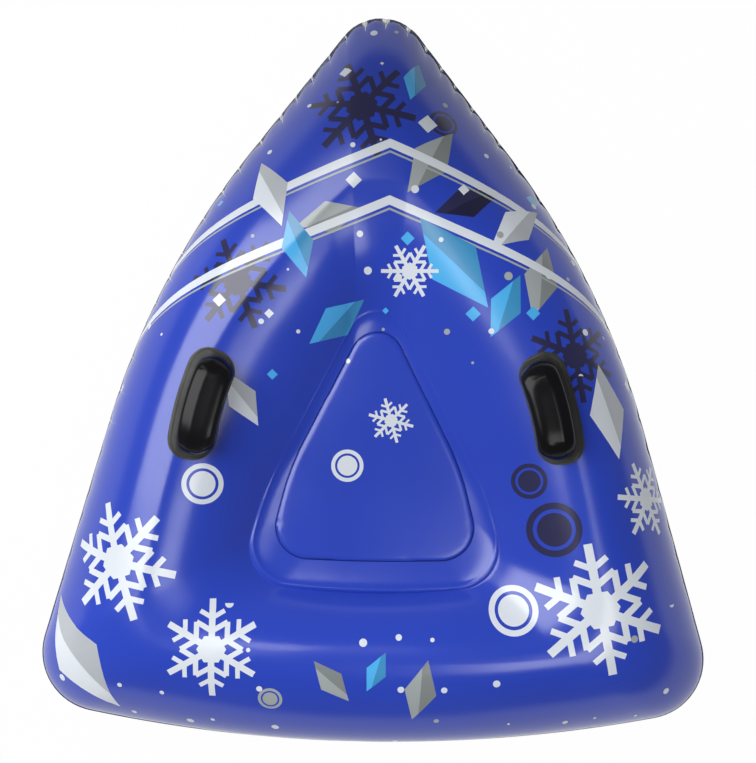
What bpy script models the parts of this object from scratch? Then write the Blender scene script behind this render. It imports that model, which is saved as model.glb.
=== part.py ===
"""Inflatable snow sled: a rounded triangular air tube of welded vinyl with a recessed seat,
a flat seat pad, two moulded grab handles and an inflation valve in the rear wall.

Metres, +Z up, nose towards +Y. The origin is on the snow, under the middle of the sled.
"""

import math
from collections import namedtuple

import bmesh
import bpy
from mathutils import Matrix, Vector
from mathutils.bvhtree import BVHTree

# Whole sled, over the weld round its edge
SLED_WIDTH = 1.0
SLED_LENGTH = 1.094
RIDGE_HEIGHT = 0.225
SEAM_HEIGHT = 0.106
FIT_GAP = 0.0003
MERGE_REACH = 0.00003
SMOOTH_ANGLE = math.radians(40)

# Edge outline
NOSE_RADIUS = 0.072
NOSE_FLANK_ANGLE = math.radians(38)
SIDE_ANGLE = math.radians(16)
SHOULDER_RADIUS = 1.2
REAR_CORNER_RADIUS = 0.09
REAR_BOW_RADIUS = 2.2
WELD_WIDTH = 0.009

# Sheets
TOP_FILM = 0.0008
BOTTOM_FILM = 0.0012
WEB_FILM = 0.0008
FLOOR_FILM = 0.0008
COVER_FILM = 0.0008

# Seat crease, a smaller rounded triangle set towards the rear
SEAT_WIDTH = 0.370
SEAT_LENGTH = 0.422
SEAT_REAR_INSET = 0.230
SEAT_NOSE_RADIUS = 0.045
SEAT_FLANK_ANGLE = math.radians(27)
SEAT_SIDE_ANGLE = math.radians(13)
SEAT_SHOULDER_RADIUS = 0.5
SEAT_CORNER_RADIUS = 0.062
SEAT_BOW_RADIUS = 1.2
SEAT_DEPTH = 0.062

# Soft roll between the crease and the pad
ROLL_RISE = 0.006
ROLL_FALL = 0.011
PAD_MARGIN = 0.001

# Seat pad
PAD_WIDTH = 0.296
PAD_LENGTH = 0.342
PAD_REAR_INSET = 0.277
PAD_NOSE_RADIUS = 0.040
PAD_FLANK_ANGLE = math.radians(27)
PAD_SIDE_ANGLE = math.radians(14)
PAD_SHOULDER_RADIUS = 0.4
PAD_CORNER_RADIUS = 0.050
PAD_BOW_RADIUS = 2.8
PAD_THICKNESS = 0.012
PAD_EDGE_RADIUS = 0.006
PAD_CROWN = 0.0015
PAD_TURN_SHARES = (0, 0.33, 0.67, 1)

# Places round the sled at which the tube's section is set, nose to rear: steps along one half
SIDE_STEPS = 28
REAR_STEPS = 11
PAD_SIDE_STEPS = 14
PAD_REAR_STEPS = 6
BEND_SHARE = 0.3
FILLET_LIMIT_SHARE = 0.98

# Tube section, as shares of the way from the seam to the crease, at nose, side, corner and rear
RIDGE_SHARES = (0.55, 0.40, 0.48, 0.50)
KEEL_SHARES = (0.66, 0.44, 0.52, 0.50)
FULLNESS_SHARES = (0.80, 0.50, 0.72, 0.52)
INNER_BEND_SHARE = 0.80
OUTER_ROWS = 6
INNER_ROWS = 5
KEEL_ROWS = 6
# Way across the roll, and height there as a share of the rise above or the fall below the crease
ROLL_RISE_SHARES = ((0.10, 0.70), (0.26, 1.0), (0.50, 0.55))
ROLL_FALL_SHARES = ((0.78, 0.45), (1.0, 1.0))

# Inner strips
WEB_OPEN_STEPS = 4
BEAM_PLACE_SHARES = (("floor_beam_rear", 0.20), ("floor_beam_middle", 0.45), ("floor_beam_front", 0.70))
BEAM_END_GAP = 0.012

# Grab handles
HANDLE_X = 0.2575
HANDLE_Y = -0.038
HANDLE_TILT = math.radians(15)
HANDLE_BOW_RADIUS = 0.45
PATCH_LENGTH = 0.166
PATCH_WIDTH = 0.070
PATCH_CORNER_RADIUS = 0.031
PATCH_FILM = 0.0015
PATCH_GAP = 0.0008
PATCH_STEPS = 18
PATCH_LANES = 8
GRIP_LENGTH = 0.150
GRIP_WIDTH = 0.052
GRIP_HEIGHT = 0.044
GRIP_FOOT = 0.028
GRIP_THICKNESS = 0.017
GRIP_GAP = 0.0008
GRIP_STEPS = 16
GRIP_SIDES = 14
GRIP_ARCH_SHARE = 0.72
GRIP_SECTION_SHARE = 0.75
GRIP_SMOOTH_ANGLE = math.radians(60)
SOLE_SHARES = (0.25, 0.5, 0.75)

# Valve, along its own axis, which stands square to the rear wall
VALVE_ANGLE = math.radians(38)
VALVE_SIDES = 28
FLANGE_RADIUS = 0.026
FLANGE_PROUD = 0.0008
FLANGE_DEPTH = 0.0048
COLLAR_HEIGHT = 0.0050
COLLAR_WALL = 0.0025
VALVE_BORE_RADIUS = 0.0148
SEAL_THICKNESS = 0.0014
INSERT_HEAD_RADIUS = 0.0180
INSERT_HEAD_HEIGHT = 0.0018
INSERT_NECK_RADIUS = 0.0146
INSERT_NECK_HEIGHT = 0.0020
INSERT_LIP_RADIUS = 0.0156
INSERT_LIP_HEIGHT = 0.0010
INSERT_BORE_RADIUS = 0.0108
INSERT_SEAT_RADIUS = 0.0092
INSERT_FLOOR = 0.0016
SPOKE_WIDTH = 0.0022
SPOKE_COUNT = 3
SPOKE_INSET_SHARE = 0.25
HUB_RADIUS = 0.0036
HUB_HOLE_RADIUS = 0.0021
STALK_RADIUS = 0.0017
STALK_HEAD_RADIUS = 0.0028
STALK_HEAD_HEIGHT = 0.0012
DIAPHRAGM_RADIUS = 0.0114
DIAPHRAGM_THICKNESS = 0.0010
DIAPHRAGM_TRAVEL = 0.0020
TETHER_RADIUS = 0.0188
TETHER_TAB_REACH = 0.0012
TETHER_TAB_WIDTH = 0.0070
CAP_RADIUS = 0.0172
CAP_THICKNESS = 0.0022
CAP_PLUG_RADIUS = 0.0102
CAP_PLUG_TAPER = 0.0008
CAP_PLUG_DEPTH = 0.0040
CAP_STRAP_THICKNESS = 0.0012
CAP_STRAP_INSET_SHARE = 0.2
CAP_ROOT_OVERLAP = 0.0024
CAP_TAB_REACH = 0.0050
CAP_TAB_WIDTH = 0.0110
CAP_SEAL_WIDTH = 0.0024
CUT_OVERRUN = 0.004

# Places along the valve's axis that follow from the sizes above
COLLAR_TOP = FLANGE_PROUD + COLLAR_HEIGHT
SEAL_BASE = COLLAR_TOP + FIT_GAP
HEAD_BASE = SEAL_BASE + SEAL_THICKNESS + FIT_GAP
HEAD_TOP = HEAD_BASE + INSERT_HEAD_HEIGHT
NECK_TOP = HEAD_TOP + INSERT_NECK_HEIGHT
INSERT_TOP = NECK_TOP + INSERT_LIP_HEIGHT
CAP_SEAL_BASE = INSERT_TOP + FIT_GAP
CAP_BASE = CAP_SEAL_BASE + SEAL_THICKNESS + FIT_GAP
CAP_TOP = CAP_BASE + CAP_THICKNESS
INSERT_BASE = -FLANGE_DEPTH
TETHER_END = TETHER_RADIUS + TETHER_TAB_REACH
HINGE_X = TETHER_END + FIT_GAP / 2
HINGE_Z = HEAD_TOP + FIT_GAP

# Heights that follow from the sizes above
CREASE_HEIGHT = RIDGE_HEIGHT - SEAT_DEPTH
PAD_WELD_HEIGHT = CREASE_HEIGHT - ROLL_FALL
PAD_BASE = PAD_WELD_HEIGHT + FIT_GAP
FLOOR_TOP = PAD_WELD_HEIGHT - TOP_FILM - FIT_GAP
TOP_FLANGE_HEIGHT = SEAM_HEIGHT + FIT_GAP / 2 + TOP_FILM
BOTTOM_FLANGE_HEIGHT = SEAM_HEIGHT - FIT_GAP / 2 - BOTTOM_FILM

BLUE_VINYL = ("blue_vinyl", (0.033, 0.074, 0.497), 0.28)
DARK_VINYL = ("dark_vinyl", (0.012, 0.016, 0.045), 0.30)
CLEAR_VINYL = ("inner_vinyl", (0.55, 0.60, 0.68), 0.35)
BLACK_VINYL = ("black_vinyl", (0.008, 0.008, 0.009), 0.22)
GREY_FOAM = ("grey_foam", (0.22, 0.23, 0.25), 0.90)
VALVE_PLASTIC = ("valve_plastic", (0.010, 0.010, 0.012), 0.35)
SEAL_RUBBER = ("seal_rubber", (0.30, 0.30, 0.31), 0.60)

Outline = namedtuple(
    "Outline",
    "nose_y rear_y half_width nose_radius flank_angle side_angle shoulder_radius corner_radius bow_radius",
)

EDGE = Outline(
    SLED_LENGTH / 2, -SLED_LENGTH / 2, SLED_WIDTH / 2, NOSE_RADIUS, NOSE_FLANK_ANGLE,
    SIDE_ANGLE, SHOULDER_RADIUS, REAR_CORNER_RADIUS, REAR_BOW_RADIUS,
)
CREASE = Outline(
    EDGE.rear_y + SEAT_REAR_INSET + SEAT_LENGTH, EDGE.rear_y + SEAT_REAR_INSET, SEAT_WIDTH / 2,
    SEAT_NOSE_RADIUS, SEAT_FLANK_ANGLE, SEAT_SIDE_ANGLE, SEAT_SHOULDER_RADIUS,
    SEAT_CORNER_RADIUS, SEAT_BOW_RADIUS,
)
PAD = Outline(
    EDGE.rear_y + PAD_REAR_INSET + PAD_LENGTH, EDGE.rear_y + PAD_REAR_INSET, PAD_WIDTH / 2,
    PAD_NOSE_RADIUS, PAD_FLANK_ANGLE, PAD_SIDE_ANGLE, PAD_SHOULDER_RADIUS,
    PAD_CORNER_RADIUS, PAD_BOW_RADIUS,
)


def clear_scene():
    """Removes every object, so that the model starts from nothing."""
    for item in list(bpy.data.objects):
        bpy.data.objects.remove(item, do_unlink=True)


def material(finish):
    """Returns the finish's material, made once."""
    name, colour, roughness = finish
    found = bpy.data.materials.get(name)
    if found:
        return found
    made = bpy.data.materials.new(name)
    made.use_nodes = True
    shader = made.node_tree.nodes["Principled BSDF"]
    shader.inputs["Base Color"].default_value = (*colour, 1)
    shader.inputs["Roughness"].default_value = roughness
    shader.inputs["Metallic"].default_value = 0
    return made


def add_object(name, bm, finish, parent=None, smooth_angle=SMOOTH_ANGLE):
    """Turns a bmesh into a named, smooth-shaded object and frees the bmesh."""
    mesh = bpy.data.meshes.new(name)
    bm.to_mesh(mesh)
    bm.free()
    mesh.shade_smooth()
    mesh.set_sharp_from_angle(angle=smooth_angle)
    mesh.materials.append(material(finish))
    made = bpy.data.objects.new(name, mesh)
    made.parent = parent
    bpy.context.scene.collection.objects.link(made)
    return made


def solidify(item, thickness):
    """Gives a sheet its thickness, on the side away from its faces' normals."""
    wall = item.modifiers.new("film", "SOLIDIFY")
    wall.thickness = thickness
    wall.offset = -1
    wall.use_even_offset = True


def boolean(item, other, operation):
    """Adds or cuts away another object, which stays as a hidden guide."""
    step = item.modifiers.new(other.name, "BOOLEAN")
    step.operation = operation
    step.object = other
    step.solver = "EXACT"
    other.hide_render = True
    other.display_type = "WIRE"


# Outlines

def facing(angle):
    """Returns the direction in the plan at an angle from +X."""
    return Vector((math.cos(angle), math.sin(angle)))


def heading(angle):
    """Returns the direction that runs rearwards at an angle from -Y."""
    return Vector((math.sin(angle), -math.cos(angle)))


def line_piece(start, end):
    """A straight piece of an outline, as its measure and its point at a share of its length."""
    return (end - start).length, lambda share: start.lerp(end, share)


def arc_piece(centre, radius, first, last, bend_reach):
    """A round piece of an outline. Its measure grows with its turn, so that it gets more points."""
    turn = abs(last - first)
    measure = turn * (radius + bend_reach)
    return measure, lambda share: centre + radius * facing(first + (last - first) * share)


def half_outline(shape):
    """The right half of a rounded triangle, nose to corner and corner to rear, in pieces."""
    bend_reach = BEND_SHARE * shape.half_width
    corner_x = shape.half_width - shape.corner_radius
    bow_centre = Vector((0, shape.rear_y + shape.bow_radius))
    reach = shape.bow_radius - shape.corner_radius
    corner = Vector((corner_x, bow_centre.y - math.sqrt(reach ** 2 - corner_x ** 2)))
    bow_angle = math.atan2(corner.y - bow_centre.y, corner.x)
    middle_angle = (shape.side_angle + bow_angle) / 2
    nose = Vector((0, shape.nose_y - shape.nose_radius))
    flank_start = nose + shape.nose_radius * facing(shape.flank_angle)
    side_end = corner + shape.corner_radius * facing(shape.side_angle)
    flank = heading(shape.flank_angle)
    side = heading(shape.side_angle)
    span = side_end - flank_start
    cross = flank.x * side.y - side.x * flank.y
    flank_run = (span.x * side.y - side.x * span.y) / cross
    side_run = (flank.x * span.y - span.x * flank.y) / cross
    shoulder = flank_start + flank * flank_run
    half_turn = math.tan((shape.flank_angle - shape.side_angle) / 2)
    longest = FILLET_LIMIT_SHARE * min(flank_run, side_run)
    trim = min(shape.shoulder_radius * half_turn, longest)
    radius = trim / half_turn
    flank_end = shoulder - flank * trim
    side_start = shoulder + side * trim
    turning = flank_end - radius * facing(shape.flank_angle)
    front = [
        arc_piece(nose, shape.nose_radius, math.pi / 2, shape.flank_angle, bend_reach),
        line_piece(flank_start, flank_end),
        arc_piece(turning, radius, shape.flank_angle, shape.side_angle, bend_reach),
        line_piece(side_start, side_end),
        arc_piece(corner, shape.corner_radius, shape.side_angle, middle_angle, bend_reach),
    ]
    rear = [
        arc_piece(corner, shape.corner_radius, middle_angle, bow_angle, bend_reach),
        arc_piece(bow_centre, shape.bow_radius, bow_angle, -math.pi / 2, bend_reach),
    ]
    return front, rear


def run_points(run, steps):
    """Points at even measure along a run of pieces, both ends included."""
    total = sum(measure for measure, _ in run)
    points = []
    for step in range(steps + 1):
        wanted = total * step / steps
        for measure, place in run:
            if wanted <= measure or (measure, place) == run[-1]:
                points.append(place(min(wanted / measure, 1)))
                break
            wanted -= measure
    return points


def loop_points(shape, side_steps=SIDE_STEPS, rear_steps=REAR_STEPS):
    """The whole outline as plan points, clockwise from the nose, the left half mirrored."""
    front, rear = half_outline(shape)
    right = run_points(front, side_steps)[:-1] + run_points(rear, rear_steps)
    left = [Vector((-point.x, point.y)) for point in reversed(right[1:-1])]
    right[0].x = 0
    right[-1].x = 0
    return right + left


def inset(shape, depth):
    """The outline drawn in by a depth, or let out by a negative one."""
    return shape._replace(
        nose_y=shape.nose_y - depth,
        rear_y=shape.rear_y + depth,
        half_width=shape.half_width - depth,
        nose_radius=shape.nose_radius - depth,
        shoulder_radius=shape.shoulder_radius - depth,
        corner_radius=shape.corner_radius - depth,
        bow_radius=shape.bow_radius - depth,
    )


def raised(points, height):
    """Plan points as one level row."""
    return [Vector((point.x, point.y, height)) for point in points]


def way_round(index):
    """Where a point of a loop lies: 0 at the nose, 1 at the rear corner, 2 at the rear's middle."""
    count = 2 * (SIDE_STEPS + REAR_STEPS)
    nearest = min(index, count - index)
    if nearest <= SIDE_STEPS:
        return nearest / SIDE_STEPS
    return 1 + (nearest - SIDE_STEPS) / REAR_STEPS


def blended(shares, way):
    """A value given at nose, side, corner and rear, eased from one to the next."""
    nose, side, corner, rear = shares
    if way < 0.5:
        first, last, part = nose, side, way * 2
    elif way < 1:
        first, last, part = side, corner, way * 2 - 1
    else:
        first, last, part = corner, rear, way - 1
    eased = part * part * (3 - 2 * part)
    return first + (last - first) * eased


# Meshes

def loft(bm, rows, closed=True):
    """Joins rows of points by faces. Clockwise rows that shrink inwards get faces that look up."""
    made = [[bm.verts.new(point) for point in row] for row in rows]
    count = len(rows[0])
    last = count if closed else count - 1
    for first, second in zip(made, made[1:]):
        for index in range(last):
            after = (index + 1) % count
            bm.faces.new((first[index], second[index], second[after], first[after]))
    return made


def turned(profile, sides=VALVE_SIDES):
    """A solid turned about Z from a closed profile of (radius, height) points."""
    bm = bmesh.new()
    verts = [bm.verts.new((radius, 0, height)) for radius, height in profile]
    edges = [bm.edges.new((verts[k - 1], verts[k])) for k in range(len(verts))]
    bmesh.ops.spin(
        bm, geom=verts + edges, cent=(0, 0, 0), axis=(0, 0, 1), angle=2 * math.pi,
        steps=sides, use_merge=True,
    )
    bmesh.ops.remove_doubles(bm, verts=bm.verts, dist=MERGE_REACH)
    bmesh.ops.recalc_face_normals(bm, faces=bm.faces)
    return bm


def block(low, high):
    """A box between two corners."""
    bm = bmesh.new()
    bmesh.ops.create_cube(bm, size=1)
    size = Vector(high) - Vector(low)
    bmesh.ops.scale(bm, vec=size, verts=bm.verts)
    bmesh.ops.translate(bm, vec=(Vector(high) + Vector(low)) / 2, verts=bm.verts)
    return bm


def prism(points, base, top):
    """A flat-ended solid over a plan outline that runs clockwise."""
    bm = bmesh.new()
    rows = loft(bm, [raised(points, top), raised(points, base)])
    bm.faces.new(list(reversed(rows[0])))
    bm.faces.new(rows[1])
    bmesh.ops.recalc_face_normals(bm, faces=bm.faces)
    return bm


class Surface:
    """The upper side of a mesh, as a height over the plan."""

    def __init__(self, bm):
        bm.normal_update()
        self.tree = BVHTree.FromBMesh(bm)

    def height(self, x, y):
        """The height of the surface over a place in the plan."""
        above = Vector((x, y, RIDGE_HEIGHT + GRIP_HEIGHT))
        hit, _, _, _ = self.tree.ray_cast(above, Vector((0, 0, -1)))
        return hit.z


# Sheets of the tube

def section_row(share_at, height_at):
    """One row round the tube: share_at is its way from seam to crease, height_at its height."""
    seam = loop_points(inset(EDGE, WELD_WIDTH))
    crease = loop_points(CREASE)
    row = []
    for index, (outer, inner) in enumerate(zip(seam, crease)):
        way = way_round(index)
        place = outer.lerp(inner, share_at(way))
        row.append(Vector((place.x, place.y, height_at(way))))
    return row


def outer_row(step):
    """A row of the top skin between the seam and the ridge."""
    angle = math.pi / 2 * step / OUTER_ROWS
    rise = RIDGE_HEIGHT - TOP_FLANGE_HEIGHT
    return section_row(
        lambda way: blended(RIDGE_SHARES, way) * (1 - math.cos(angle)),
        lambda way: TOP_FLANGE_HEIGHT + rise * math.sin(angle) ** (2 * blended(FULLNESS_SHARES, way)),
    )


def inner_row(step):
    """A row of the top skin between the ridge and the seat's crease."""
    part = step / INNER_ROWS
    bend = 1 - math.sqrt(1 - (INNER_BEND_SHARE * part) ** 2)
    whole_bend = 1 - math.sqrt(1 - INNER_BEND_SHARE ** 2)
    return section_row(
        lambda way: blended(RIDGE_SHARES, way) * (1 - part) + part,
        lambda way: RIDGE_HEIGHT - SEAT_DEPTH * bend / whole_bend,
    )


def roll_rows():
    """The rows of the soft roll from the crease to the weld round the pad."""
    crease = loop_points(CREASE)
    weld = loop_points(inset(PAD, -PAD_MARGIN))
    rows = []
    for share, lift in ROLL_RISE_SHARES:
        points = [outer.lerp(inner, share) for outer, inner in zip(crease, weld)]
        rows.append(raised(points, CREASE_HEIGHT + ROLL_RISE * lift))
    for share, drop in ROLL_FALL_SHARES:
        points = [outer.lerp(inner, share) for outer, inner in zip(crease, weld)]
        rows.append(raised(points, CREASE_HEIGHT - ROLL_FALL * drop))
    return rows


def top_sheet():
    """The outer side of the top skin, as an open mesh."""
    bm = bmesh.new()
    rows = [raised(loop_points(EDGE), TOP_FLANGE_HEIGHT)]
    rows.append(raised(loop_points(inset(EDGE, WELD_WIDTH)), TOP_FLANGE_HEIGHT))
    rows += [outer_row(step) for step in range(1, OUTER_ROWS + 1)]
    rows += [inner_row(step) for step in range(1, INNER_ROWS + 1)]
    rows += roll_rows()
    rows.append(raised(loop_points(inset(PAD, WELD_WIDTH)), PAD_WELD_HEIGHT))
    loft(bm, rows)
    bmesh.ops.triangulate(bm, faces=bm.faces)
    return bm


def add_top_skin():
    """The printed top sheet, from the edge weld to the weld round the pad."""
    skin = add_object("top_skin", top_sheet(), BLUE_VINYL)
    solidify(skin, TOP_FILM)


def keel_row(step):
    """A row of the bottom skin between the seam and the flat underside."""
    angle = math.pi / 2 * step / KEEL_ROWS
    return section_row(
        lambda way: blended(KEEL_SHARES, way) * (1 - math.cos(angle)),
        lambda way: BOTTOM_FLANGE_HEIGHT * (1 - math.sin(angle) ** (2 * blended(FULLNESS_SHARES, way))),
    )


def add_bottom_skin(valve_seat):
    """The thick sliding sheet, flat below, with a hole for the valve's flange."""
    bm = bmesh.new()
    rows = [raised(loop_points(EDGE), BOTTOM_FLANGE_HEIGHT)]
    rows.append(raised(loop_points(inset(EDGE, WELD_WIDTH)), BOTTOM_FLANGE_HEIGHT))
    rows += [keel_row(step) for step in range(1, KEEL_ROWS + 1)]
    made = loft(bm, rows)
    bm.faces.new(list(reversed(made[-1])))
    bmesh.ops.reverse_faces(bm, faces=bm.faces)
    skin = add_object("bottom_skin", bm, DARK_VINYL)
    solidify(skin, BOTTOM_FILM)
    reach = FLANGE_DEPTH + CUT_OVERRUN
    hole = ((0, -reach), (FLANGE_RADIUS + FIT_GAP, -reach), (FLANGE_RADIUS + FIT_GAP, reach), (0, reach))
    cutter = add_object("valve_hole_cutter", turned(hole), DARK_VINYL, valve_seat)
    boolean(skin, cutter, "DIFFERENCE")


# Seat

def add_seat_floor():
    """The sheet under the pad that closes the air chamber."""
    bm = prism(loop_points(PAD, PAD_SIDE_STEPS, PAD_REAR_STEPS), FLOOR_TOP - FLOOR_FILM, FLOOR_TOP)
    add_object("seat_floor", bm, CLEAR_VINYL)


def pad_rows(depth, base, height, crown):
    """Rows of the pad's form, from its lower edge up and over its round shoulder."""
    steps = (PAD_SIDE_STEPS, PAD_REAR_STEPS)
    radius = PAD_EDGE_RADIUS - depth
    rows = [raised(loop_points(inset(PAD, depth), *steps), base)]
    for share in PAD_TURN_SHARES:
        turn = share * math.pi / 2
        shrink = depth + radius * (1 - math.cos(turn))
        level = base + height - radius * (1 - math.sin(turn))
        rows.append(raised(loop_points(inset(PAD, shrink), *steps), level))
    rows.append(raised(loop_points(inset(PAD, PAD_NOSE_RADIUS / 2), *steps), base + height + crown))
    return rows


def add_seat_pad():
    """The flat pad: a foam core under a vinyl cover that is welded down round its edge."""
    bm = bmesh.new()
    made = loft(bm, pad_rows(0, PAD_BASE, PAD_THICKNESS, PAD_CROWN))
    bm.faces.new(list(reversed(made[-1])))
    cover = add_object("seat_pad_cover", bm, BLUE_VINYL)
    solidify(cover, COVER_FILM)
    bm = bmesh.new()
    depth = COVER_FILM + FIT_GAP
    made = loft(bm, pad_rows(depth, PAD_BASE, PAD_THICKNESS - depth, PAD_CROWN))
    bm.faces.new(made[-1])
    bm.faces.new(made[0])
    bmesh.ops.recalc_face_normals(bm, faces=bm.faces)
    add_object("seat_pad_foam", bm, GREY_FOAM)


def add_seat_web():
    """The strip that ties the crease to the bottom, open at the nose end so that air passes."""
    outer = loop_points(inset(CREASE, -WEB_FILM / 2))
    inner = loop_points(inset(CREASE, WEB_FILM / 2))
    base = BOTTOM_FILM + FIT_GAP
    top = CREASE_HEIGHT - math.sqrt(2) * TOP_FILM - FIT_GAP
    keep = slice(WEB_OPEN_STEPS, len(outer) - WEB_OPEN_STEPS + 1)
    corners = ((outer, base), (outer, top), (inner, top), (inner, base))
    lines = [raised(points[keep], height) for points, height in corners]
    bm = bmesh.new()
    made = loft(bm, list(zip(*lines)))
    bm.faces.new(made[0])
    bm.faces.new(list(reversed(made[-1])))
    bmesh.ops.recalc_face_normals(bm, faces=bm.faces)
    add_object("seat_web", bm, CLEAR_VINYL)


def half_width_at(shape, y):
    """Half the width of an outline at a place along the sled."""
    right = [point for point in loop_points(shape) if point.x >= 0]
    for ahead, behind in zip(right, right[1:]):
        if behind.y <= y <= ahead.y:
            return ahead.x + (behind.x - ahead.x) * (ahead.y - y) / (ahead.y - behind.y)
    return 0


def add_floor_beams():
    """The strips across the chamber that hold the seat floor flat."""
    base = BOTTOM_FILM + FIT_GAP
    top = FLOOR_TOP - FLOOR_FILM - FIT_GAP
    for name, share in BEAM_PLACE_SHARES:
        y = PAD.rear_y + PAD_LENGTH * share
        half = half_width_at(PAD, y) - BEAM_END_GAP
        low = (-half, y - WEB_FILM / 2, base)
        high = (half, y + WEB_FILM / 2, top)
        add_object(name, block(low, high), CLEAR_VINYL)


# Grab handles

def handle_plan(side, along, across):
    """A place on a handle in the plan: along its bowed middle line, and outwards across it."""
    outwards = facing(HANDLE_TILT)
    noseward = -heading(HANDLE_TILT)
    bend = along / HANDLE_BOW_RADIUS
    spoke = outwards * math.cos(bend) + noseward * math.sin(bend)
    centre = Vector((HANDLE_X, HANDLE_Y)) - outwards * HANDLE_BOW_RADIUS
    place = centre + spoke * (HANDLE_BOW_RADIUS + across)
    return side * place.x, place.y


def handle_normal(side, skin):
    """The skin's mean normal under a handle."""
    reach = PATCH_WIDTH / 2
    x, y = handle_plan(side, 0, 0)
    slope_x = (skin.height(x + reach, y) - skin.height(x - reach, y)) / (2 * reach)
    slope_y = (skin.height(x, y + reach) - skin.height(x, y - reach)) / (2 * reach)
    return Vector((-slope_x, -slope_y, 1)).normalized()


def patch_row(along):
    """Places across the doubler at a place along it, narrower over its round ends."""
    past = max(abs(along) - (PATCH_LENGTH / 2 - PATCH_CORNER_RADIUS), 0)
    rest = math.sqrt(max(PATCH_CORNER_RADIUS ** 2 - past ** 2, 0))
    half_width = PATCH_WIDTH / 2 - PATCH_CORNER_RADIUS + rest
    return [half_width * (2 * lane / PATCH_LANES - 1) for lane in range(PATCH_LANES + 1)]


def add_handle_patch(side, name, skin, normal):
    """The bean-shaped doubler, laid on the skin. Returns the surface of its upper side."""
    bm = bmesh.new()
    lift = normal * (PATCH_GAP + PATCH_FILM)
    rows = []
    for step in range(PATCH_STEPS + 1):
        along = PATCH_LENGTH / 2 * math.sin(math.pi * (step / PATCH_STEPS - 1 / 2))
        places = [handle_plan(side, along, across) for across in patch_row(along)]
        rows.append([Vector((x, y, skin.height(x, y))) + lift for x, y in places])
    loft(bm, rows, closed=False)
    bm.normal_update()
    if sum(face.normal.z for face in bm.faces) < 0:
        bmesh.ops.reverse_faces(bm, faces=bm.faces)
    bmesh.ops.triangulate(bm, faces=bm.faces)
    top = Surface(bm)
    patch = add_object(name, bm, BLACK_VINYL)
    solidify(patch, PATCH_FILM)
    return top


def rounded_wave(angle, share):
    """Cosine and sine of an angle, squared off by a share below 1."""
    c = math.cos(angle)
    s = math.sin(angle)
    return math.copysign(abs(c) ** share, c), math.copysign(abs(s) ** share, s)


def grip_ring(side, angle, patch_top, normal, spread=1):
    """One section of a grip's arch, from one foot at 0 to the other at a half turn.
    A spread below 1 draws it in to its middle, for the sole of a foot."""
    c, s = rounded_wave(angle, GRIP_ARCH_SHARE)
    outer = Vector((GRIP_LENGTH / 2 * c, GRIP_HEIGHT * max(s, 0)))
    inner_length = GRIP_LENGTH / 2 - GRIP_FOOT
    inner = Vector((inner_length * c, (GRIP_HEIGHT - GRIP_THICKNESS) * max(s, 0)))
    ring = []
    for step in range(GRIP_SIDES):
        turn = 2 * math.pi * step / GRIP_SIDES
        out_share, across_share = rounded_wave(turn, GRIP_SECTION_SHARE)
        spot = outer.lerp(inner, (1 - spread * out_share) / 2)
        x, y = handle_plan(side, spot.x, spread * across_share * GRIP_WIDTH / 2)
        ring.append(Vector((x, y, patch_top.height(x, y) + GRIP_GAP)) + normal * spot.y)
    return ring


def add_handle(side, name, skin):
    """One grab handle: its doubler and the arch that the hand holds."""
    normal = handle_normal(side, skin)
    patch_top = add_handle_patch(side, name + "_handle_patch", skin, normal)
    bm = bmesh.new()
    turns = [math.pi * step / GRIP_STEPS for step in range(GRIP_STEPS + 1)]
    rings = [grip_ring(side, 0, patch_top, normal, spread) for spread in SOLE_SHARES]
    rings += [grip_ring(side, turn, patch_top, normal) for turn in turns]
    rings += [grip_ring(side, math.pi, patch_top, normal, spread) for spread in reversed(SOLE_SHARES)]
    made = loft(bm, rings)
    bm.faces.new(made[0])
    bm.faces.new(list(reversed(made[-1])))
    bmesh.ops.recalc_face_normals(bm, faces=bm.faces)
    add_object(name + "_handle_grip", bm, BLACK_VINYL, smooth_angle=GRIP_SMOOTH_ANGLE)


# Valve

def add_valve_seat():
    """The empty on the rear wall that carries the valve, its Z along the valve's axis."""
    seam_y = EDGE.rear_y + WELD_WIDTH
    depth = (CREASE.rear_y - seam_y) * KEEL_SHARES[-1]
    fullness = 2 * FULLNESS_SHARES[-1]
    c = math.cos(VALVE_ANGLE)
    s = math.sin(VALVE_ANGLE)
    place = Vector((0, seam_y + depth * (1 - c), BOTTOM_FLANGE_HEIGHT * (1 - s ** fullness)))
    along = Vector((0, depth * s, -BOTTOM_FLANGE_HEIGHT * fullness * s ** (fullness - 1) * c)).normalized()
    out = Vector((0, along.z, -along.y))
    right = Vector((1, 0, 0))
    turn = Matrix((right, out.cross(right), out)).transposed().to_4x4()
    seat = bpy.data.objects.new("valve_seat", None)
    seat.matrix_world = Matrix.Translation(place) @ turn
    bpy.context.scene.collection.objects.link(seat)
    return seat


def add_valve_flange(seat):
    """The moulded ring welded into the wall, with the collar that takes the insert."""
    collar = VALVE_BORE_RADIUS + FIT_GAP + COLLAR_WALL
    bore = VALVE_BORE_RADIUS + FIT_GAP
    profile = (
        (bore, -FLANGE_DEPTH), (FLANGE_RADIUS, -FLANGE_DEPTH), (FLANGE_RADIUS, FLANGE_PROUD),
        (collar, FLANGE_PROUD), (collar, COLLAR_TOP), (bore, COLLAR_TOP),
    )
    add_object("valve_flange", turned(profile), VALVE_PLASTIC, seat)


def ring_profile(inner, outer, base, top):
    """The profile of a square-edged ring."""
    return (inner, base), (outer, base), (outer, top), (inner, top)


def add_insert_seal(seat):
    """The rubber ring between the flange's collar and the insert's head."""
    inner = VALVE_BORE_RADIUS + FIT_GAP
    outer = inner + COLLAR_WALL
    profile = ring_profile(inner, outer, SEAL_BASE, SEAL_BASE + SEAL_THICKNESS)
    add_object("valve_insert_seal", turned(profile), SEAL_RUBBER, seat)


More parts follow.
